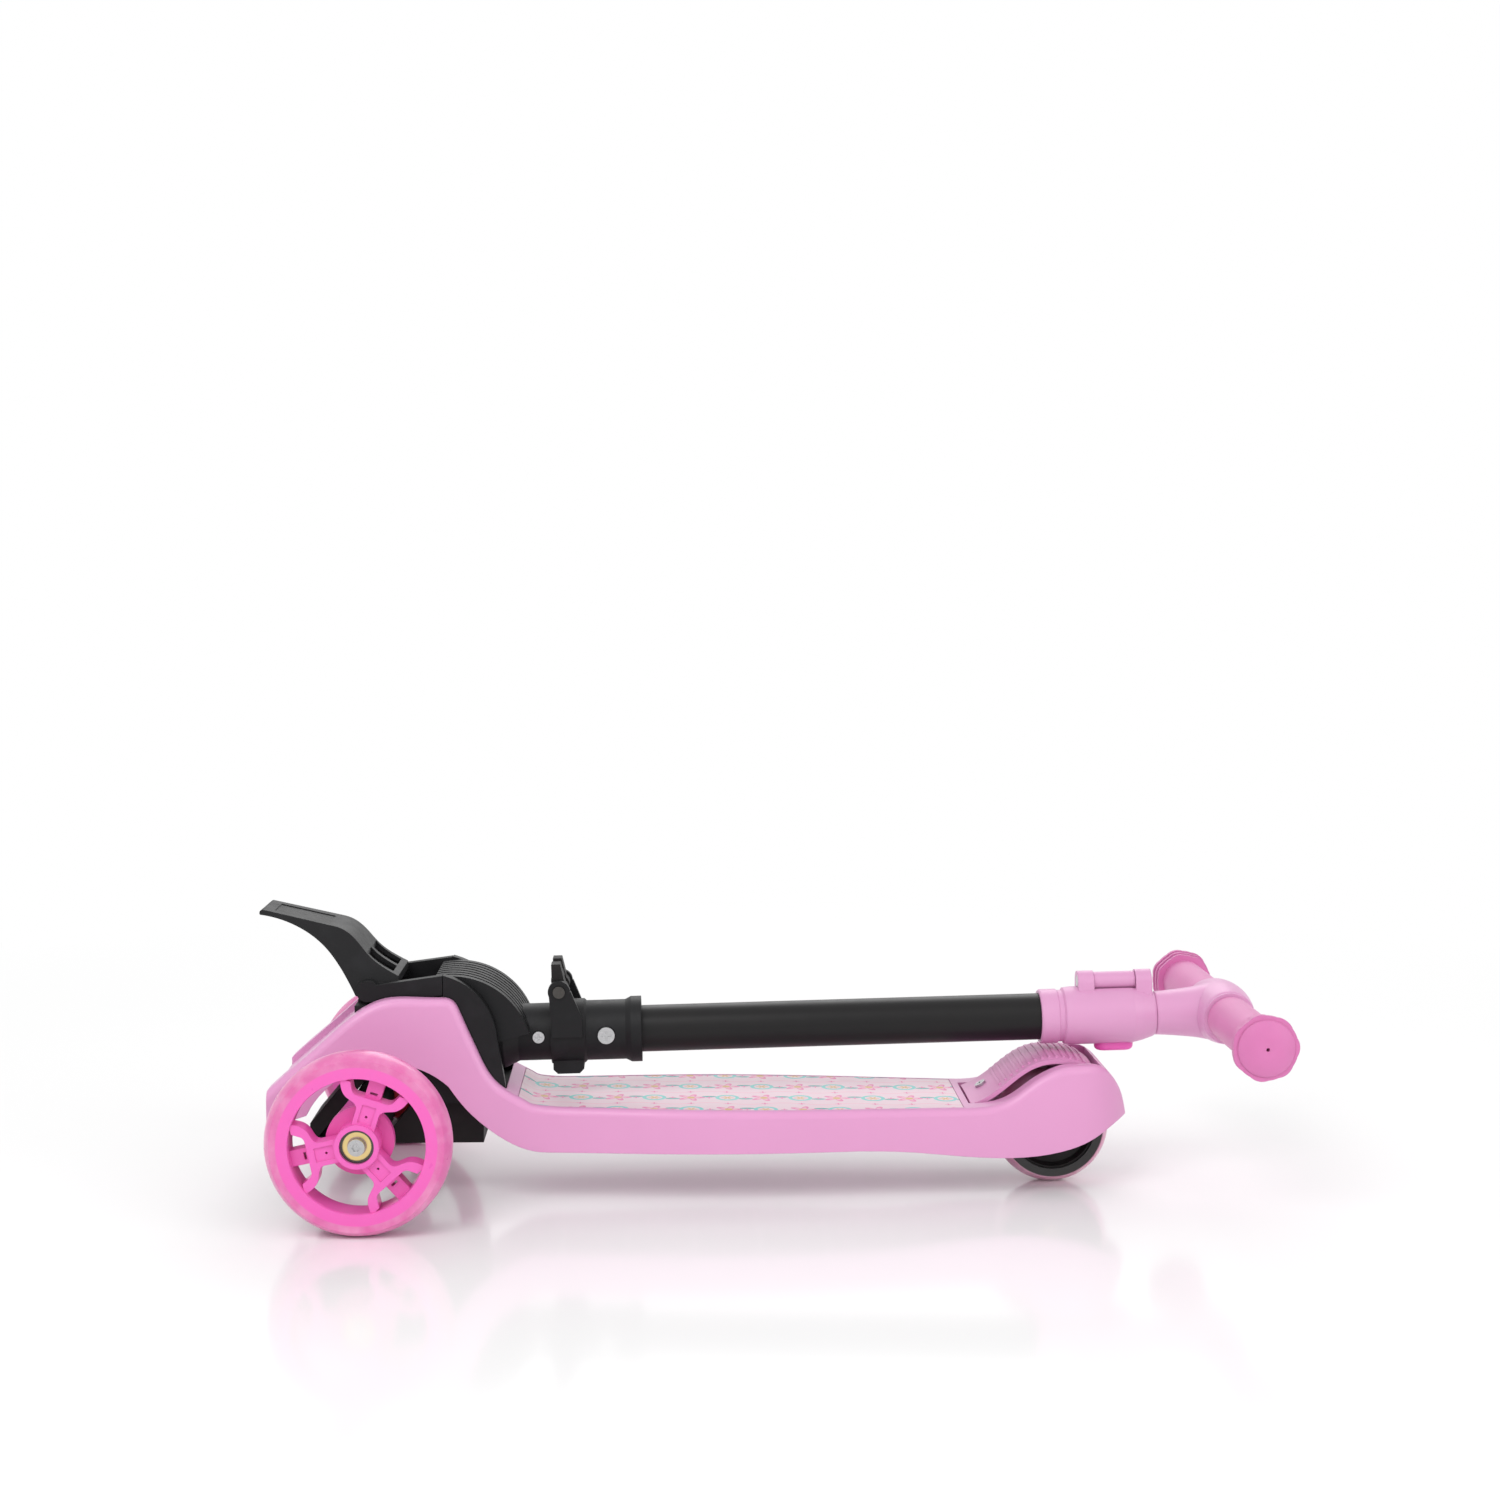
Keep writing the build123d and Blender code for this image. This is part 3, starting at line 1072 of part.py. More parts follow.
def clamp_collar():
    """Clamp collar on the tube's end, split on top, with two knuckles for the lever and a button pocket."""
    a, e, r = COLLAR_START, COLLAR_END, COLLAR_RADIUS
    collar = stem_turned(
        (0, a), (r - 2, a), (r - 1.3, a + 1), (r - 1.3, a + 12), (r - 2.2, a + 13), (r - 2.2, a + 16),
        (r - 0.5, a + 17), (r, a + 22), (r, e - 16), (r - 1.5, e - 9), (r - 4, e - 1.5), (r - 5, e), (0, e),
    )
    for start, end in KNUCKLES:
        collar += extrude(STEM_AXIS.offset(start) * knuckle(), amount=end - start)
    collar -= stem_tube(TUBE_DIAMETER / 2 + RUN_GAP, 0, a - 1, TUBE_END)
    collar -= stem_tube(INNER_TUBE_DIAMETER / 2 + SEAT_GAP, 0, a, e + 1)
    slit = Pos(0, r - 4) * Rectangle(2.5, 10)
    collar -= extrude(STEM_AXIS.offset(KNUCKLES[0][0]) * slit, amount=COLLAR_LENGTH)
    collar -= clamp_rod(CLAMP_BOLT_DIAMETER / 2 + RUN_GAP, a, e + 9)
    collar -= clamp_rod(CLAMP_HEAD_RADIUS + SEAT_GAP, a, KNUCKLES[0][0] + CLAMP_HEAD_HEIGHT)
    collar -= clamp_rod(CLAMP_BOLT_DIAMETER / 2 + 4.8, KNUCKLES[0][1], KNUCKLES[1][0])
    return collar - button_prism(SEAT_GAP, BUTTON_FLOOR, 2 * r)


def clamp_bolt():
    """Bolt of the quick-release lever, along the column."""
    start, end = KNUCKLES[0][0], KNUCKLES[1][1]
    bolt = clamp_rod(CLAMP_BOLT_DIAMETER / 2, start, end)
    return bolt + clamp_rod(CLAMP_HEAD_RADIUS, start, start + CLAMP_HEAD_HEIGHT)


def clamp_lever():
    """Quick-release lever: a barrel on the bolt and a blade curved round the collar's right side."""
    start, end = KNUCKLES[0][1] + SEAT_GAP, KNUCKLES[1][0] - SEAT_GAP
    inner = COLLAR_RADIUS + 1
    outer = inner + LEVER_THICKNESS
    low = -0.62 * inner
    right_side = Pos(2 + outer / 2, (outer + low) / 2) * Rectangle(outer, outer - low)
    blade = (Circle(outer) - Circle(inner)) & right_side
    lever = extrude(STEM_AXIS.offset(start) * blade, amount=end - start)
    lever += clamp_rod(CLAMP_BOLT_DIAMETER / 2 + 3.5, start, end)
    return lever - clamp_rod(CLAMP_BOLT_DIAMETER / 2 + RUN_GAP, start - 1, end + 1)


def height_button():
    """Push button under the collar that frees the inner tube."""
    button = button_prism(0, BUTTON_SEAT, BUTTON_SEAT + BUTTON_HEIGHT)
    outline = button.faces().sort_by(Axis.Z)[0].edges()
    return fillet(outline, 3)


def button_spring():
    """Small spring behind the height button."""
    wire = 0.7
    turns = 3
    pitch = (BUTTON_SEAT - BUTTON_FLOOR - wire) / turns
    return below_stem(BUTTON_S).offset(BUTTON_FLOOR + wire / 2) * coil(3.5, wire, turns, pitch)


# Handle
def inner_tube():
    """Sliding tube of the column."""
    radius = INNER_TUBE_DIAMETER / 2
    tube = stem_tube(radius, radius - TUBE_WALL, INNER_TUBE_ROOT, INNER_TUBE_END)
    return tube - head_screw_rod(SCREW_DIAMETER / 2 + RUN_GAP, 0, 2 * radius)


def guide_ring():
    """Plastic ring on the foot of the inner tube."""
    outer = TUBE_DIAMETER / 2 - TUBE_WALL - RUN_GAP
    return stem_tube(outer, INNER_TUBE_DIAMETER / 2 + RUN_GAP, INNER_TUBE_ROOT, INNER_TUBE_ROOT + 15)


def head_screw_rod(radius, near, far):
    """Cylinder down from the stem's axis where the head's screw sits."""
    return extrude(below_stem(NECK_START + 12).offset(near) * Circle(radius), amount=far - near)


def t_head():
    """Moulded head that joins the inner tube to the cross bar."""
    neck = NECK_RADIUS
    reach, radius = HANDLE_REACH, T_HEAD_RADIUS
    bar = HANDLE_PLANES["right"]
    span = T_HEAD_HALF_WIDTH
    flare_start = (neck + 0.4, NECK_START + 8)
    flare_end = (radius + 1.5, reach)
    flare = Spline(flare_end, (radius - 0.8, reach - 15), flare_start, tangents=[(0, -1), (-0.1, -1)])
    rest = Polyline(
        flare_start, (neck, NECK_START + 0.8), (neck - 0.6, NECK_START),
        (0, NECK_START), (0, reach), flare_end,
    )
    head = STEM_AXIS * revolve(Plane.XZ * make_face([flare, rest]), Axis.Z)
    crown = ThreePointArc((radius - 1, -span), (radius + 2.2, 0), (radius - 1, span))
    core = Polyline(crown @ 1, (0, span), (0, -span), crown @ 0)
    barrel = revolve(Plane.XZ * make_face([crown, core]), Axis.Z)
    head += bar * fillet(barrel.edges(), 2.5)
    head += bar.offset(-span - 2) * extrude(Circle(radius - 1.5), 2 * span + 4)
    head -= bar.offset(-2 * span) * extrude(Circle(HANDLE_BAR_DIAMETER / 2 + RUN_GAP), 4 * span)
    head -= stem_tube(INNER_TUBE_DIAMETER / 2 + RUN_GAP, 0, NECK_START - 1, INNER_TUBE_END)
    head -= head_screw_rod(SCREW_DIAMETER * 0.8 + SEAT_GAP, neck - HEAD_SCREW_SINK, 2 * radius)
    return head - head_screw_rod(SCREW_DIAMETER / 2 + RUN_GAP, 0, radius)


def t_head_screw():
    """Screw that holds the head on the inner tube."""
    seat = NECK_RADIUS - HEAD_SCREW_SINK
    screw = head_screw_rod(SCREW_DIAMETER / 2, INNER_TUBE_DIAMETER / 2 - TUBE_WALL, seat)
    return screw + head_screw_rod(SCREW_DIAMETER * 0.8, seat, seat + HEAD_SCREW_SINK)


def handle_bar():
    """Cross bar inside the head and the grips."""
    half = HANDLE_WIDTH / 2 - 13
    radius = HANDLE_BAR_DIAMETER / 2
    tube = Cylinder(radius, 2 * half) - Cylinder(radius - TUBE_WALL, 2 * half)
    return HANDLE_PLANES["right"] * tube


def lobed_ring():
    """Flower-shaped outline of a grip's end ring."""
    reach = GRIP_FLANGE_DIAMETER / 2
    lobe = 0.5 * reach
    ring = Circle(0.96 * reach)
    for place in PolarLocations(reach - lobe, GRIP_LOBES):
        ring += place * Circle(lobe)
    return ring


def grip():
    """Soft grip along local Z with lobed rings and a domed end."""
    end = HANDLE_WIDTH / 2
    start = T_HEAD_HALF_WIDTH + 2.3
    radius = GRIP_DIAMETER / 2
    bore = HANDLE_BAR_DIAMETER / 2 + RUN_GAP
    bar_end = end - 13
    cap = end - 5
    rim = 0.42 * GRIP_FLANGE_DIAMETER
    dome = ThreePointArc((rim, cap + 1.2), (0.75 * rim, end - 1.6), (1.2, end))
    rest = Polyline(
        (1.2, end), (1.2, bar_end), (bore, bar_end), (bore, start), (radius - 1, start), (radius, start + 1),
        (radius, cap - 1), (rim, cap - 1), (rim, cap + 1.2),
    )
    solid = revolve(Plane.XZ * make_face([dome, rest]), Axis.Z)
    thickness = 3.4
    for count in range(GRIP_RINGS):
        ring = extrude(scale(lobed_ring(), 1 - 0.04 * count), thickness)
        solid += Pos(0, 0, cap - thickness - 4.6 * count) * (ring - Cylinder(radius - 1, 20))
    return solid


# Every piece by name
def all_nodes():
    """Build each piece in the layout frame."""
    rear_tyre = tyre(REAR_WHEEL_DIAMETER / 2, REAR_CORE_DIAMETER / 2, REAR_LIP, REAR_WHEEL_WIDTH)
    nodes = {
        "deck_shell": deck_shell(),
        "deck_mat": deck_mat(),
        "fold_housing": fold_housing(),
        "housing_screws": floor_screws(HOUSING_SCREWS, SLOT_FLOOR - WEB_THICKNESS),
        "hinge_bolt": hinge_bolt(),
        "hinge_nut": hinge_nut(),
        "release_pedal": release_pedal(),
        "pedal_pin": pedal_pin(),
        "pedal_spring": pedal_spring(),
        "steering_bracket": steering_bracket(),
        "bracket_screws": floor_screws(BRACKET_SCREWS, SLOT_FLOOR - BRACKET_FOOT),
        "kingpin": kingpin(),
        "kingpin_nut": kingpin_nut(),
        "steer_bush": steer_bush(),
        "truck_beam": truck_beam(),
        "rear_core": REAR_PLANE * rear_core(),
        "rear_tyre": REAR_PLANE * rear_tyre,
        "rear_bearings": REAR_PLANE * wheel_bearings(REAR_WHEEL_WIDTH),
        "rear_axle": rear_axle(),
        "rear_axle_nut": rear_axle_nut(),
        "rear_spacers": rear_spacers(),
        "brake_pedal": brake_pedal(),
        "brake_pin": brake_pin(),
        "brake_spring": brake_spring(),
        "brake_screw": brake_screw(),
        "stem_base": stem_base(),
        "stem_bolts": stem_bolts(),
        "latch_tongue": latch_tongue(),
        "latch_pin": latch_pin(),
        "latch_spring": latch_spring(),
        "outer_tube": outer_tube(),
        "tube_liner": tube_liner(),
        "clamp_collar": clamp_collar(),
        "clamp_bolt": clamp_bolt(),
        "clamp_lever": clamp_lever(),
        "height_button": height_button(),
        "button_spring": button_spring(),
        "inner_tube": inner_tube(),
        "guide_ring": guide_ring(),
        "t_head": t_head(),
        "t_head_screw": t_head_screw(),
        "handle_bar": handle_bar(),
    }
    nodes["brake_pad"] = brake_pad(nodes["brake_pedal"])
    hub, bolt, handle_grip = front_hub(), axle_bolt(), grip()
    bearings = wheel_bearings(FRONT_WHEEL_WIDTH)
    front_tyre = tyre(FRONT_WHEEL_DIAMETER / 2, FRONT_RIM_DIAMETER / 2, FRONT_LIP, FRONT_WHEEL_WIDTH)
    for side in ("left", "right"):
        nodes[f"hub_{side}"] = WHEEL_PLANES[side] * hub
        nodes[f"tyre_{side}"] = WHEEL_PLANES[side] * front_tyre
        nodes[f"bearings_{side}"] = WHEEL_PLANES[side] * bearings
        nodes[f"axle_bolt_{side}"] = WHEEL_PLANES[side] * bolt
        nodes[f"grip_{side}"] = HANDLE_PLANES[side] * handle_grip
    return nodes


def middle_shift(nodes):
    """Distance along X that brings the middle of the whole length over the origin."""
    boxes = [solid.bounding_box() for solid in nodes.values()]
    return -(min(box.min.X for box in boxes) + max(box.max.X for box in boxes)) / 2


if __name__ == "__main__":
    os.makedirs("parts", exist_ok=True)
    NODES = all_nodes()
    SHIFT = middle_shift(NODES)
    for name, solid in NODES.items():
        export_step(Pos(SHIFT, 0, 0) * solid, f"parts/{name}.step")
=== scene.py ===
"""Looks of the folded kick scooter: procedural materials, the button's spring, floor, light and camera."""

import json
import math

import bpy
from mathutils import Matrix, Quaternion, Vector

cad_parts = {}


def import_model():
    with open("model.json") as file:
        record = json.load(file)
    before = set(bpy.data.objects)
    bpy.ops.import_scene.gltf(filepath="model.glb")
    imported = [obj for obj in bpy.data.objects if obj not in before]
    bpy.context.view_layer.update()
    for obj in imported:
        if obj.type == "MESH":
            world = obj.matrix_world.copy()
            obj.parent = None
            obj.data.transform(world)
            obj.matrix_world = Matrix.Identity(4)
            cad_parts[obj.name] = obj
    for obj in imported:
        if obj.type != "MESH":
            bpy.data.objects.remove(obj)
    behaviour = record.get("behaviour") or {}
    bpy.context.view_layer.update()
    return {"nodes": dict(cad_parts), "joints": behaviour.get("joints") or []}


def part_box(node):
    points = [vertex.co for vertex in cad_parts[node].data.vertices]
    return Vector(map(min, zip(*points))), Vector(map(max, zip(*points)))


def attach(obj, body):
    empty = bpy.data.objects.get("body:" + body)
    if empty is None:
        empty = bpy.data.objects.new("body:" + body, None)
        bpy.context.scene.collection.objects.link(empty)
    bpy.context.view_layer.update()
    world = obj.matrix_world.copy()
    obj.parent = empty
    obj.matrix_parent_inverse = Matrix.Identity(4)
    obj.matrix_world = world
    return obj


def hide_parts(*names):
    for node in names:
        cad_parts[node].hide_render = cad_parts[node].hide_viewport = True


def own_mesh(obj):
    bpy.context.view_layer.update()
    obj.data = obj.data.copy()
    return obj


# Camera, fitted to the photograph's frame of 1500 by 1500
CAMERA_PLACE = (-0.0653, -1.591, 0.4307)
CAMERA_PITCH = 4.66
CAMERA_YAW = 2.03
CAMERA_LENS = 56.01
SENSOR_WIDTH = 36

# Colours in linear light
BODY_PINK = (0.76, 0.34, 0.60)
PALE_PINK = (0.71, 0.34, 0.57)
HUB_PINK = (0.86, 0.13, 0.51)
GRIP_PINK = (0.69, 0.19, 0.45)
TYRE_PINK = (0.73, 0.15, 0.41)
TYRE_CLOUD = (0.82, 0.33, 0.56)
REAR_TYRE = (0.70, 0.34, 0.48)
REAR_CLOUD = (0.82, 0.58, 0.68)
BRAKE_PINK = (0.72, 0.30, 0.55)
MAT_PINK = (0.84, 0.61, 0.70)
MAT_LIGHT = (0.86, 0.67, 0.74)
TEAL = (0.20, 0.62, 0.60)
DEEP_TEAL = (0.10, 0.40, 0.40)
GOLD = (0.70, 0.46, 0.15)
ROSE = (0.80, 0.22, 0.45)
BLUSH = (0.88, 0.48, 0.60)
BUSH_RED = (0.55, 0.02, 0.03)
BLACK = (0.007, 0.007, 0.008)
WARM_BLACK = (0.010, 0.009, 0.009)
SILVER = (0.54, 0.54, 0.55)
TUBE_SILVER = (0.72, 0.72, 0.73)
RACE = (0.46, 0.34, 0.28)
SHIELD = (0.78, 0.60, 0.27)
DARK_STEEL = (0.09, 0.085, 0.08)
FLOOR_WHITE = (0.97, 0.97, 0.97)
WHITE = (1, 1, 1)

# Gloss of black mouldings and coatings, below that of the pale ones
BLACK_GLOSS = 0.24

# Depth of the surface grain and reach of light under pink mouldings and soft tyres, in metres
GRAIN_DEPTH = 0.0002
MOULDED_SCATTER = (0.004, 0.002, 0.003)
TYRE_SCATTER = (0.008, 0.003, 0.005)

# Edges of the rims under the tyres' lips, and their fade, as shares of the tyre's radius
FRONT_RIM_EDGE = 0.845
REAR_RIM_EDGE = 0.865
RIM_FADE = 0.015

# Edges of a bearing's shield, as shares of the bearing's radius
SHIELD_START = 0.56
SHIELD_END = 0.83

# Repeat of the mat's print along the deck and across it, in metres
MAT_PITCH = 0.050
MAT_ROW = 0.034

# Motifs of the mat's print, in metres
FLOWER = 0.0098
FLOWER_HEART = 0.0062
FLOWER_EYE = 0.0027
RING = 0.0082
RING_BORE = 0.0056
RING_FLOWER = 0.0044
SPARK = 0.0024
LEAF_PLACE = (0.0125, 0.003)
LEAF_REACH = (0.005, 0.0019)
WAVE_SWING = 0.0022
WAVE_WIDTH = 0.0011

# Spring behind the height button, in metres
SPRING_WIRE = 0.0007
SPRING_TURNS = 3
SPRING_STEPS = 28

# Floor, with the distances between which it fades to plain white, and light
FLOOR_RADIUS = 14
FADE_START = 0.45
FADE_END = 1.3
SKY_LIGHT = 0.62
LAMP_AIM = (0, 0, 0.08)

# Colour sockets of the mix node, which has others of the same names
MIX_A = 6
MIX_B = 7
MIX_RESULT = 2


# Node helpers
def feed(tree, socket, value):
    """Link a socket, or set its value."""
    if isinstance(value, bpy.types.NodeSocket):
        tree.links.new(value, socket)
    else:
        socket.default_value = value


def feed_all(tree, made, inputs):
    """Feed a node's sockets by name; underscores in the names stand for spaces."""
    for key, value in inputs.items():
        feed(tree, made.inputs[key.replace("_", " ")], value)


def node(tree, kind, settings=None, **inputs):
    """Add a shader node, with its settings and inputs."""
    made = tree.nodes.new(kind)
    for key, value in (settings or {}).items():
        setattr(made, key, value)
    feed_all(tree, made, inputs)
    return made


def calc(tree, operation, a, b=0.0):
    """One arithmetic step on shader values."""
    made = node(tree, "ShaderNodeMath", {"operation": operation})
    feed(tree, made.inputs[0], a)
    feed(tree, made.inputs[1], b)
    return made.outputs[0]


def rgba(colour):
    """A colour as sockets take it; a socket stays as it is."""
    return colour if isinstance(colour, bpy.types.NodeSocket) else (*colour, 1)


def shade(colour, share):
    """Darker or lighter version of a colour."""
    return tuple(share * channel for channel in colour)


def blend_colour(tree, factor, a, b):
    """Mix of two colours."""
    made = node(tree, "ShaderNodeMix", {"data_type": "RGBA"}, Factor=factor)
    feed(tree, made.inputs[MIX_A], rgba(a))
    feed(tree, made.inputs[MIX_B], rgba(b))
    return made.outputs[MIX_RESULT]


def spread(tree, value, low, high):
    """Stretch a value from the range 0 to 1 onto another range."""
    made = node(tree, "ShaderNodeMapRange", Value=value, To_Min=low, To_Max=high)
    return made.outputs["Result"]


def share_between(tree, value, start, end):
    """Share of the way from a start to an end that a value has come, from 0 to 1."""
    made = node(tree, "ShaderNodeMapRange", Value=value, From_Min=start, From_Max=end)
    return made.outputs["Result"]


def place(tree):
    """Position in the part's own frame, in metres."""
    return node(tree, "ShaderNodeTexCoord").outputs["Object"]


def noise(tree, scale, detail=2):
    """Fractal noise on the part's own frame."""
    made = node(tree, "ShaderNodeTexNoise", Vector=place(tree), Scale=scale, Detail=detail)
    return made.outputs["Fac"]


def patches(tree, scale, detail, start, end):
    """Soft patches where noise lies between two levels."""
    made = node(tree, "ShaderNodeValToRGB", Fac=noise(tree, scale, detail))
    made.color_ramp.elements[0].position = start
    made.color_ramp.elements[1].position = end
    return made.outputs["Color"]


def polar(tree, dx, dy):
    """Distance and angle of a point from the middle that its offsets are taken from."""
    squares = calc(tree, "ADD", calc(tree, "MULTIPLY", dx, dx), calc(tree, "MULTIPLY", dy, dy))
    return calc(tree, "SQRT", squares), calc(tree, "ARCTAN2", dy, dx)


def axle_distance(tree, part):
    """Distance from the middle of a wheel's part, as a share of the part's radius."""
    low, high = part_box(part)
    split = node(tree, "ShaderNodeSeparateXYZ", Vector=place(tree))
    dx = calc(tree, "SUBTRACT", split.outputs["X"], (low[0] + high[0]) / 2)
    dz = calc(tree, "SUBTRACT", split.outputs["Z"], (low[2] + high[2]) / 2)
    return calc(tree, "DIVIDE", polar(tree, dx, dz)[0], (high[2] - low[2]) / 2)


# Parts of a material
def new_surface(name, roughness, **constants):
    """Material with a principled shader; returns the material, its tree and the shader."""
    material = bpy.data.materials.new(name)
    material.use_nodes = True
    tree = material.node_tree
    shader = tree.nodes["Principled BSDF"]
    feed_all(tree, shader, {"Roughness": roughness, **constants})
    return material, tree, shader


def tint(tree, shader, factor, a, b):
    """Base colour between two colours."""
    feed(tree, shader.inputs["Base Color"], blend_colour(tree, factor, a, b))


def roughen(tree, shader, scale, detail, low, high):
    """Roughness that varies between two values."""
    feed(tree, shader.inputs["Roughness"], spread(tree, noise(tree, scale, detail), low, high))


def rounded(tree, shader, height, strength, edge):
    """Soften edges in shading and add a fine bump."""
    soft = node(tree, "ShaderNodeBevel", {"samples": 4}, Radius=edge)
    bump = node(tree, "ShaderNodeBump", Height=height, Strength=strength, Distance=GRAIN_DEPTH,
                Normal=soft.outputs["Normal"])
    feed(tree, shader.inputs["Normal"], bump.outputs["Normal"])


# Materials
def moulded(name, colour, roughness, grain, edge):
    """Satin injection moulding: faint flow marks in its colour, fine grain in its surface."""
    material, tree, shader = new_surface(
        name, roughness, Subsurface_Weight=0.05, Subsurface_Radius=MOULDED_SCATTER)
    flow = spread(tree, noise(tree, 18, 3), 0, 0.6)
    tint(tree, shader, flow, colour, shade(colour, 0.9))
    roughen(tree, shader, 60, 4, roughness - 0.06, roughness + 0.08)
    rounded(tree, shader, noise(tree, grain), 0.12, edge)
    return material


def black_moulded(name, colour, roughness):
    """Black polymer with a spark-eroded grain and rubbed, greyer patches."""
    material, tree, shader = new_surface(name, roughness, Specular_IOR_Level=BLACK_GLOSS)
    rubbed = patches(tree, 40, 5, 0.52, 0.8)
    tint(tree, shader, rubbed, colour, shade(colour, 2.2))
    roughen(tree, shader, 90, 4, roughness - 0.08, roughness + 0.1)
    rounded(tree, shader, noise(tree, 2200), 0.3, 0.0006)
    return material


def coated_tube(name):
    """Black powder coat with a slight orange peel."""
    material, tree, shader = new_surface(name, 0.34, Specular_IOR_Level=BLACK_GLOSS)
    tint(tree, shader, noise(tree, 30, 3), BLACK, WARM_BLACK)
    roughen(tree, shader, 80, 3, 0.28, 0.42)
    rounded(tree, shader, noise(tree, 700), 0.1, 0.0004)
    return material


def metal(name, colour, roughness):
    """Bright metal with a fine, uneven polish."""
    material, tree, shader = new_surface(name, roughness, Metallic=1)
    tint(tree, shader, noise(tree, 400, 3), colour, shade(colour, 0.8))
    roughen(tree, shader, 900, 3, roughness - 0.08, roughness + 0.12)
    rounded(tree, shader, noise(tree, 1800), 0.08, 0.0003)
    return material


def soft_tyre(part, colours, rim_colour, rim_edge):
    """Translucent soft polymer with pale clouds; the rim shows through the tyre's lip, up to the rim's edge."""
    material, tree, shader = new_surface(
        part + "_polymer", 0.3, Subsurface_Weight=0.35, Subsurface_Radius=TYRE_SCATTER, Coat_Weight=0.15)
    cloudy = blend_colour(tree, patches(tree, 75, 4, 0.40, 0.80), *colours)
    past_rim = share_between(tree, axle_distance(tree, part), rim_edge, rim_edge + RIM_FADE)
    tint(tree, shader, past_rim, rim_colour, cloudy)
    roughen(tree, shader, 160, 3, 0.22, 0.4)
    rounded(tree, shader, noise(tree, 300), 0.06, 0.0006)
    return material


def bearing(part):
    """Bearing steel seen end on: race, yellow zinc shield and dark outer ring, by distance from the axle."""
    material, tree, shader = new_surface(part + "_steel", 0.3, Metallic=1)
    rings = node(tree, "ShaderNodeValToRGB", Fac=axle_distance(tree, part))
    ramp = rings.color_ramp
    ramp.interpolation = "CONSTANT"
    ramp.elements[0].color = rgba(RACE)
    ramp.elements[1].position = SHIELD_END
    ramp.elements[1].color = rgba(DARK_STEEL)
    ramp.elements.new(SHIELD_START).color = rgba(SHIELD)
    feed(tree, shader.inputs["Base Color"], rings.outputs["Color"])
    roughen(tree, shader, 900, 3, 0.22, 0.42)
    rounded(tree, shader, noise(tree, 1800), 0.08, 0.0003)
    return material


def elastomer(name, colour):
    """Soft moulded rubber with a dusty sheen."""
    material, tree, shader = new_surface(
        name, 0.5, Sheen_Weight=0.15, Subsurface_Weight=0.15, Subsurface_Radius=MOULDED_SCATTER)
    tint(tree, shader, noise(tree, 50, 4), colour, shade(colour, 0.88))
    rounded(tree, shader, noise(tree, 1600, 3), 0.25, 0.0008)
    return material


# The mat's print
def grid_cell(tree, along, across, pitch, offset):
    """Distances from the middle of a brick-laid cell, along and across the deck."""
    pitch_x, pitch_y = pitch
    rows = calc(tree, "DIVIDE", calc(tree, "ADD", across, offset[1]), pitch_y)
    shift = calc(tree, "MULTIPLY", calc(tree, "FLOOR", rows), pitch_x / 2)
    columns = calc(tree, "DIVIDE", calc(tree, "ADD", calc(tree, "ADD", along, shift), offset[0]), pitch_x)
    dx = calc(tree, "SUBTRACT", calc(tree, "FRACT", columns), 0.5)
    dy = calc(tree, "SUBTRACT", calc(tree, "FRACT", rows), 0.5)
    return calc(tree, "MULTIPLY", dx, pitch_x), calc(tree, "MULTIPLY", dy, pitch_y)


def disc(tree, point, size):
    """Mask of a round dot, for a point's distance and angle."""
    return calc(tree, "LESS_THAN", point[0], size)


def petals(tree, point, count, size, waist):
    """Mask of a flower with a number of petals, for a point's distance and angle."""
    radius, angle = point
    wave = calc(tree, "COSINE", calc(tree, "MULTIPLY", angle, count))
    reach = calc(tree, "MULTIPLY", calc(tree, "ADD", calc(tree, "MULTIPLY", wave, 1 - waist), waist), size)
    return calc(tree, "LESS_THAN", radius, reach)


def leaf(tree, dx, dy, side):
    """Mask of an oval leaf on one side of a cell's middle."""
    u = calc(tree, "DIVIDE", calc(tree, "SUBTRACT", dx, side * LEAF_PLACE[0]), LEAF_REACH[0])
    v = calc(tree, "DIVIDE", calc(tree, "SUBTRACT", dy, side * LEAF_PLACE[1]), LEAF_REACH[1])
    return calc(tree, "LESS_THAN", polar(tree, u, v)[0], 1)


def ribbon(tree, along, dy):
    """Mask of a thin wavy line along the deck."""
    wave = calc(tree, "SINE", calc(tree, "MULTIPLY", along, 2 * math.pi / MAT_PITCH))
    gap = calc(tree, "SUBTRACT", dy, calc(tree, "MULTIPLY", wave, WAVE_SWING))
    return calc(tree, "LESS_THAN", calc(tree, "ABSOLUTE", gap), WAVE_WIDTH / 2)


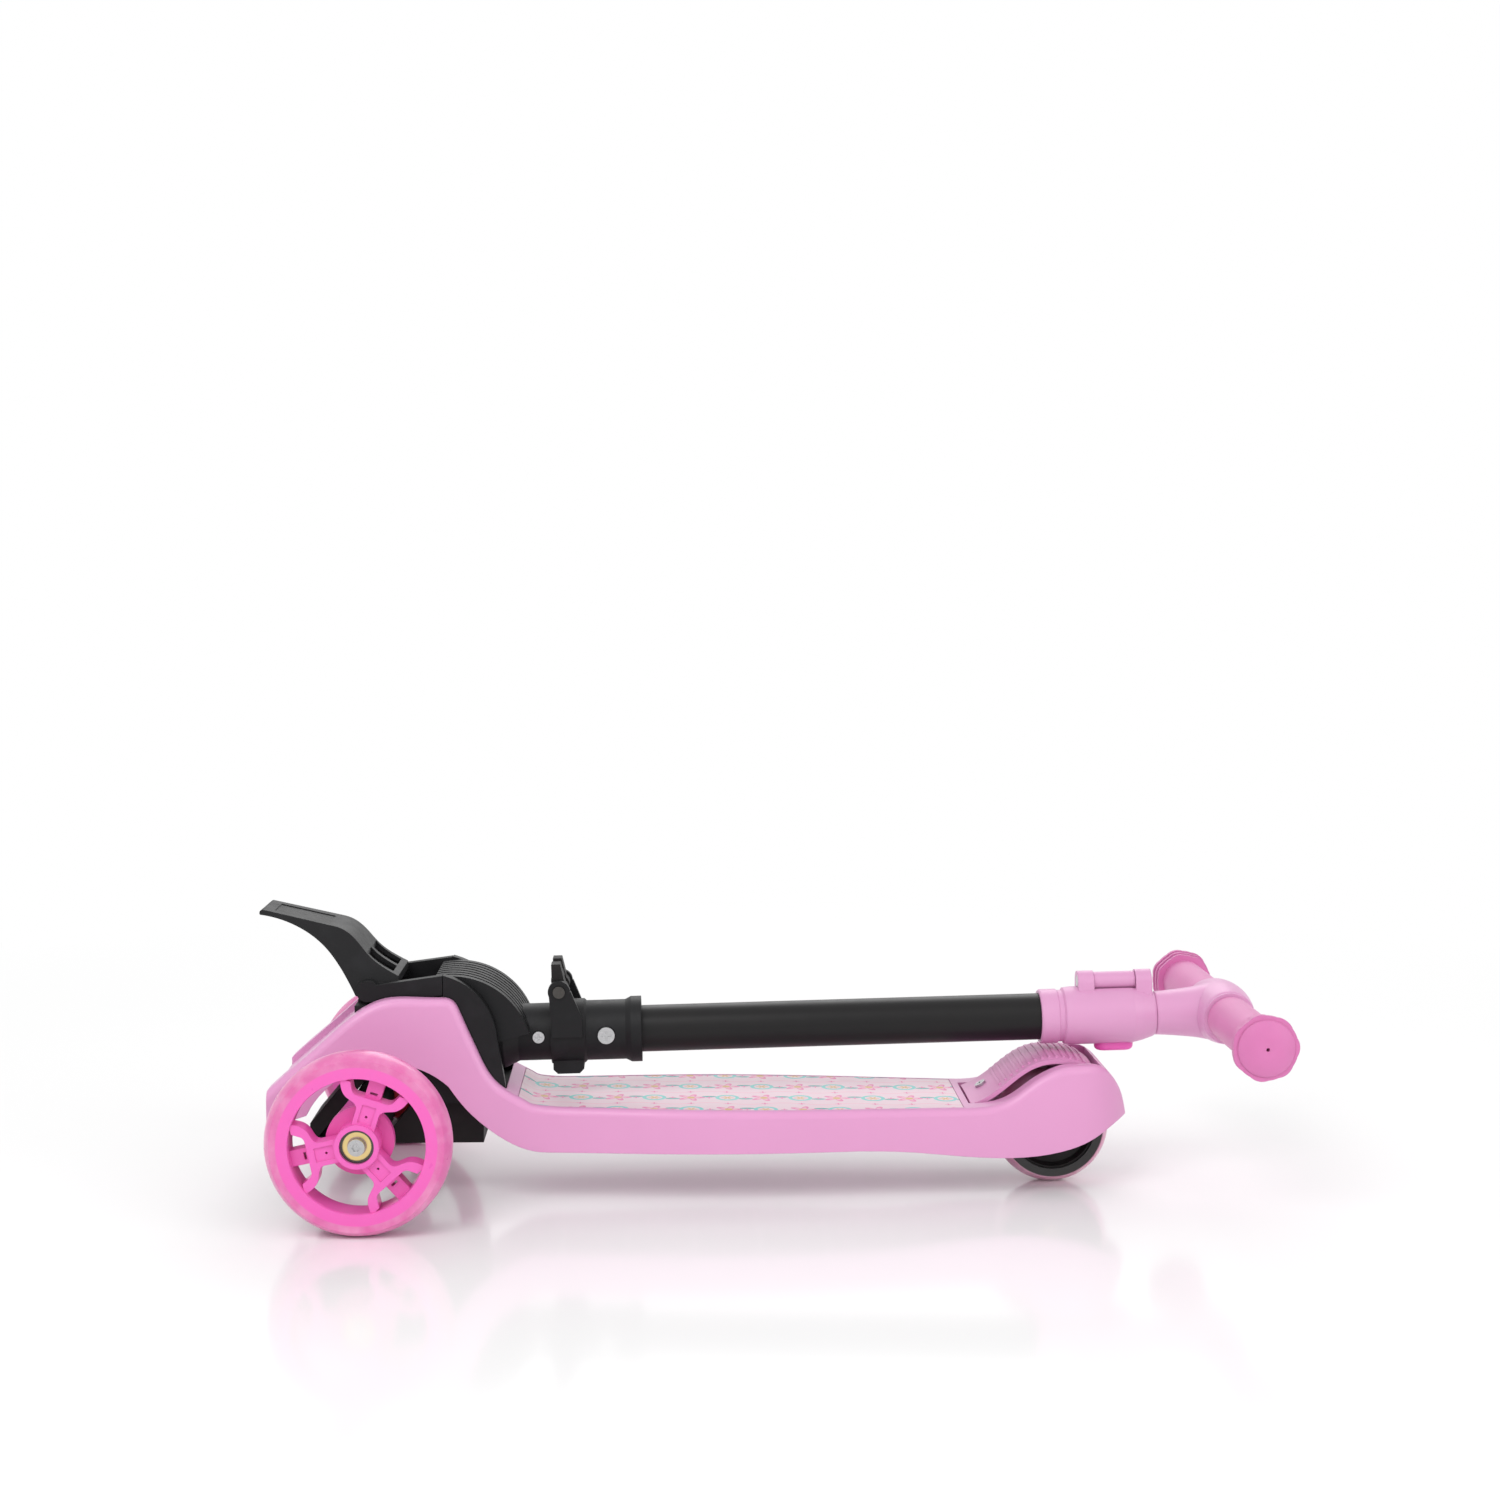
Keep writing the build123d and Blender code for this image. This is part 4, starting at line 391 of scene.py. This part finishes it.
def print_layers(tree):
    """Masks of the print's motifs with their colours, from the lowest to the topmost."""
    split = node(tree, "ShaderNodeSeparateXYZ", Vector=place(tree))
    along, across = split.outputs["X"], split.outputs["Y"]
    cell = (MAT_PITCH, MAT_ROW)
    half_cell = (MAT_PITCH / 2, MAT_ROW / 2)
    line_offset = grid_cell(tree, along, across, cell, (0, MAT_ROW / 2))[1]
    dx, dy = grid_cell(tree, along, across, cell, (0, 0))
    flower = polar(tree, dx, dy)
    ring = polar(tree, *grid_cell(tree, along, across, cell, (MAT_PITCH / 2, 0)))
    spark = polar(tree, *grid_cell(tree, along, across, half_cell, (MAT_PITCH / 4, MAT_ROW / 4)))
    return (
        (ribbon(tree, along, line_offset), BLUSH),
        (leaf(tree, dx, dy, -1), DEEP_TEAL),
        (leaf(tree, dx, dy, 1), DEEP_TEAL),
        (petals(tree, flower, 5, FLOWER, 0.7), ROSE),
        (petals(tree, flower, 5, FLOWER_HEART, 0.7), BLUSH),
        (disc(tree, flower, FLOWER_EYE), GOLD),
        (disc(tree, ring, RING), TEAL),
        (disc(tree, ring, RING_BORE), MAT_PINK),
        (petals(tree, ring, 6, RING_FLOWER, 0.6), GOLD),
        (petals(tree, spark, 4, SPARK, 0.65), ROSE),
    )


def printed_mat(name):
    """Pale pink film printed with plain flowers, leaves, rings, sparks and wavy lines."""
    material, tree, shader = new_surface(name, 0.42)
    colour = blend_colour(tree, noise(tree, 25, 3), MAT_PINK, MAT_LIGHT)
    for mask, ink in print_layers(tree):
        colour = blend_colour(tree, mask, colour, ink)
    feed(tree, shader.inputs["Base Color"], colour)
    roughen(tree, shader, 70, 4, 0.34, 0.52)
    rounded(tree, shader, noise(tree, 1400), 0.15, 0.0003)
    return material


# Dressing the part
def finishes():
    """Materials, each with the nodes that take it; the other nodes are steel."""
    front_tyre = ((TYRE_PINK, TYRE_CLOUD), HUB_PINK, FRONT_RIM_EDGE)
    return (
        (moulded("body_pink", BODY_PINK, 0.34, 900, 0.0008), ["deck_shell"]),
        (moulded("pale_pink", PALE_PINK, 0.36, 900, 0.0008), ["clamp_collar", "clamp_lever", "t_head"]),
        (moulded("hub_pink", HUB_PINK, 0.3, 700, 0.0005), ["hub_left", "hub_right", "height_button"]),
        (moulded("brake_pink", BRAKE_PINK, 0.42, 1200, 0.0005), ["brake_pedal"]),
        (black_moulded("black_plastic", BLACK, 0.46), ["fold_housing", "release_pedal", "stem_base"]),
        (black_moulded("dark_plastic", WARM_BLACK, 0.55),
         ["latch_tongue", "steering_bracket", "truck_beam", "rear_core", "brake_pad", "tube_liner",
          "guide_ring"]),
        (metal("black_oxide", DARK_STEEL, 0.36), ["latch_pin", "kingpin_nut"]),
        (metal("tube_silver", TUBE_SILVER, 0.26), ["inner_tube", "handle_bar"]),
        (coated_tube("tube_black"), ["outer_tube"]),
        (elastomer("grip_pink", GRIP_PINK), ["grip_left", "grip_right"]),
        (elastomer("bush_red", BUSH_RED), ["steer_bush"]),
        (printed_mat("mat_print"), ["deck_mat"]),
        (soft_tyre("tyre_left", *front_tyre), ["tyre_left"]),
        (soft_tyre("tyre_right", *front_tyre), ["tyre_right"]),
        (soft_tyre("rear_tyre", (REAR_TYRE, REAR_CLOUD), WARM_BLACK, REAR_RIM_EDGE), ["rear_tyre"]),
        (bearing("bearings_left"), ["bearings_left"]),
        (bearing("bearings_right"), ["bearings_right"]),
        (bearing("rear_bearings"), ["rear_bearings"]),
    )


def dress():
    """Give every CAD node its material."""
    steel = metal("steel", SILVER, 0.28)
    chosen = {part: material for material, parts in finishes() for part in parts}
    for name, thing in frame["nodes"].items():
        for slot in thing.material_slots:
            slot.material = chosen.get(name, steel)


# The button's spring
def coil_points(middle, axis, radius, length):
    """Points of a helix about an axis."""
    side = axis.orthogonal().normalized()
    count = SPRING_TURNS * SPRING_STEPS
    points = []
    for step in range(count + 1):
        turn = Quaternion(axis, 2 * math.pi * step / SPRING_STEPS)
        points.append(middle + turn @ (side * radius) + axis * length * (step / count - 0.5))
    return points


def wire_mesh(name, points, thickness):
    """Round wire along points, as a mesh."""
    curve = bpy.data.curves.new(name, "CURVE")
    curve.dimensions = "3D"
    curve.bevel_depth = thickness / 2
    curve.bevel_resolution = 3
    curve.use_fill_caps = True
    line = curve.splines.new("POLY")
    line.points.add(len(points) - 1)
    for control, point in zip(line.points, points):
        control.co = (*point, 1)
    holder = bpy.data.objects.new(name, curve)
    mesh = bpy.data.meshes.new_from_object(holder)
    bpy.data.objects.remove(holder)
    return mesh


def button_spring():
    """Coil behind the height button, wound along the button's travel; the real spring shortens as the button is
    pressed, but this coil keeps its length and rides on the stem.
    """
    press = next(joint for joint in frame["joints"] if joint["name"] == "button_press")
    axis = Vector(press["axis"]).normalized()
    low, high = (Vector(corner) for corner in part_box("button_spring"))
    middle = (low + high) / 2
    radius = (high.y - low.y - SPRING_WIRE) / 2
    length = high.z - low.z - SPRING_WIRE - 2 * radius * abs(axis.x)
    mesh = wire_mesh("button_coil", coil_points(middle, axis, radius, length), SPRING_WIRE)
    mesh.materials.append(metal("spring_steel", SILVER, 0.3))
    coil = bpy.data.objects.new("button_coil", mesh)
    bpy.context.collection.objects.link(coil)
    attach(coil, "stem")
    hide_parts("button_spring")
    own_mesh(coil)


# Stage
def floor_material():
    """Polished white floor near the object that fades into plain white further out."""
    material, tree, shader = new_surface(
        "floor_white", 0.12, Base_Color=rgba(FLOOR_WHITE), Specular_IOR_Level=0.28)
    glow = node(tree, "ShaderNodeEmission", Color=rgba(WHITE), Strength=1)
    reach = node(tree, "ShaderNodeVectorMath", {"operation": "LENGTH"})
    feed(tree, reach.inputs[0], place(tree))
    far = share_between(tree, reach.outputs["Value"], FADE_START, FADE_END)
    mix = node(tree, "ShaderNodeMixShader", Fac=far)
    feed(tree, mix.inputs[1], shader.outputs["BSDF"])
    feed(tree, mix.inputs[2], glow.outputs["Emission"])
    feed(tree, tree.nodes["Material Output"].inputs["Surface"], mix.outputs["Shader"])
    return material


def floor():
    """Round floor under the object."""
    bpy.ops.mesh.primitive_circle_add(vertices=96, radius=FLOOR_RADIUS, fill_type="NGON", location=(0, 0, 0))
    ground = bpy.context.object
    ground.name = "floor"
    ground.data.materials.append(floor_material())


def world():
    """White surroundings: full white to the eye, softer as light."""
    studio_world = bpy.data.worlds.new("studio")
    studio_world.use_nodes = True
    bpy.context.scene.world = studio_world
    tree = studio_world.node_tree
    path = node(tree, "ShaderNodeLightPath")
    seen = calc(tree, "MAXIMUM", path.outputs["Is Camera Ray"], path.outputs["Is Glossy Ray"])
    seen = calc(tree, "MAXIMUM", seen, path.outputs["Is Transmission Ray"])
    strength = spread(tree, seen, SKY_LIGHT, 1)
    feed_all(tree, tree.nodes["Background"], {"Color": rgba(WHITE), "Strength": strength})


def lamp(name, position, size, power):
    """Soft area light aimed at the object."""
    data = bpy.data.lights.new(name, "AREA")
    data.energy = power
    data.size = size
    thing = bpy.data.objects.new(name, data)
    thing.location = position
    thing.rotation_euler = (Vector(LAMP_AIM) - Vector(position)).to_track_quat("-Z", "Y").to_euler()
    bpy.context.collection.objects.link(thing)


def studio():
    """Soft light from above, in front and behind."""
    lamp("key", (-1.0, -1.6, 1.9), size=1.4, power=26)
    lamp("fill", (1.5, -1.3, 1.0), size=1.6, power=12)
    lamp("rim", (0.2, 1.7, 1.6), size=1.4, power=12)


def camera():
    """Camera at the photograph's place."""
    data = bpy.data.cameras.new("view")
    data.lens = CAMERA_LENS
    data.sensor_width = SENSOR_WIDTH
    thing = bpy.data.objects.new("view", data)
    thing.location = CAMERA_PLACE
    thing.rotation_euler = (math.radians(90 - CAMERA_PITCH), 0, math.radians(-CAMERA_YAW))
    bpy.context.collection.objects.link(thing)
    bpy.context.scene.camera = thing


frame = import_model()
dress()
button_spring()
floor()
world()
studio()
camera()
bpy.context.scene.view_settings.view_transform = "Standard"
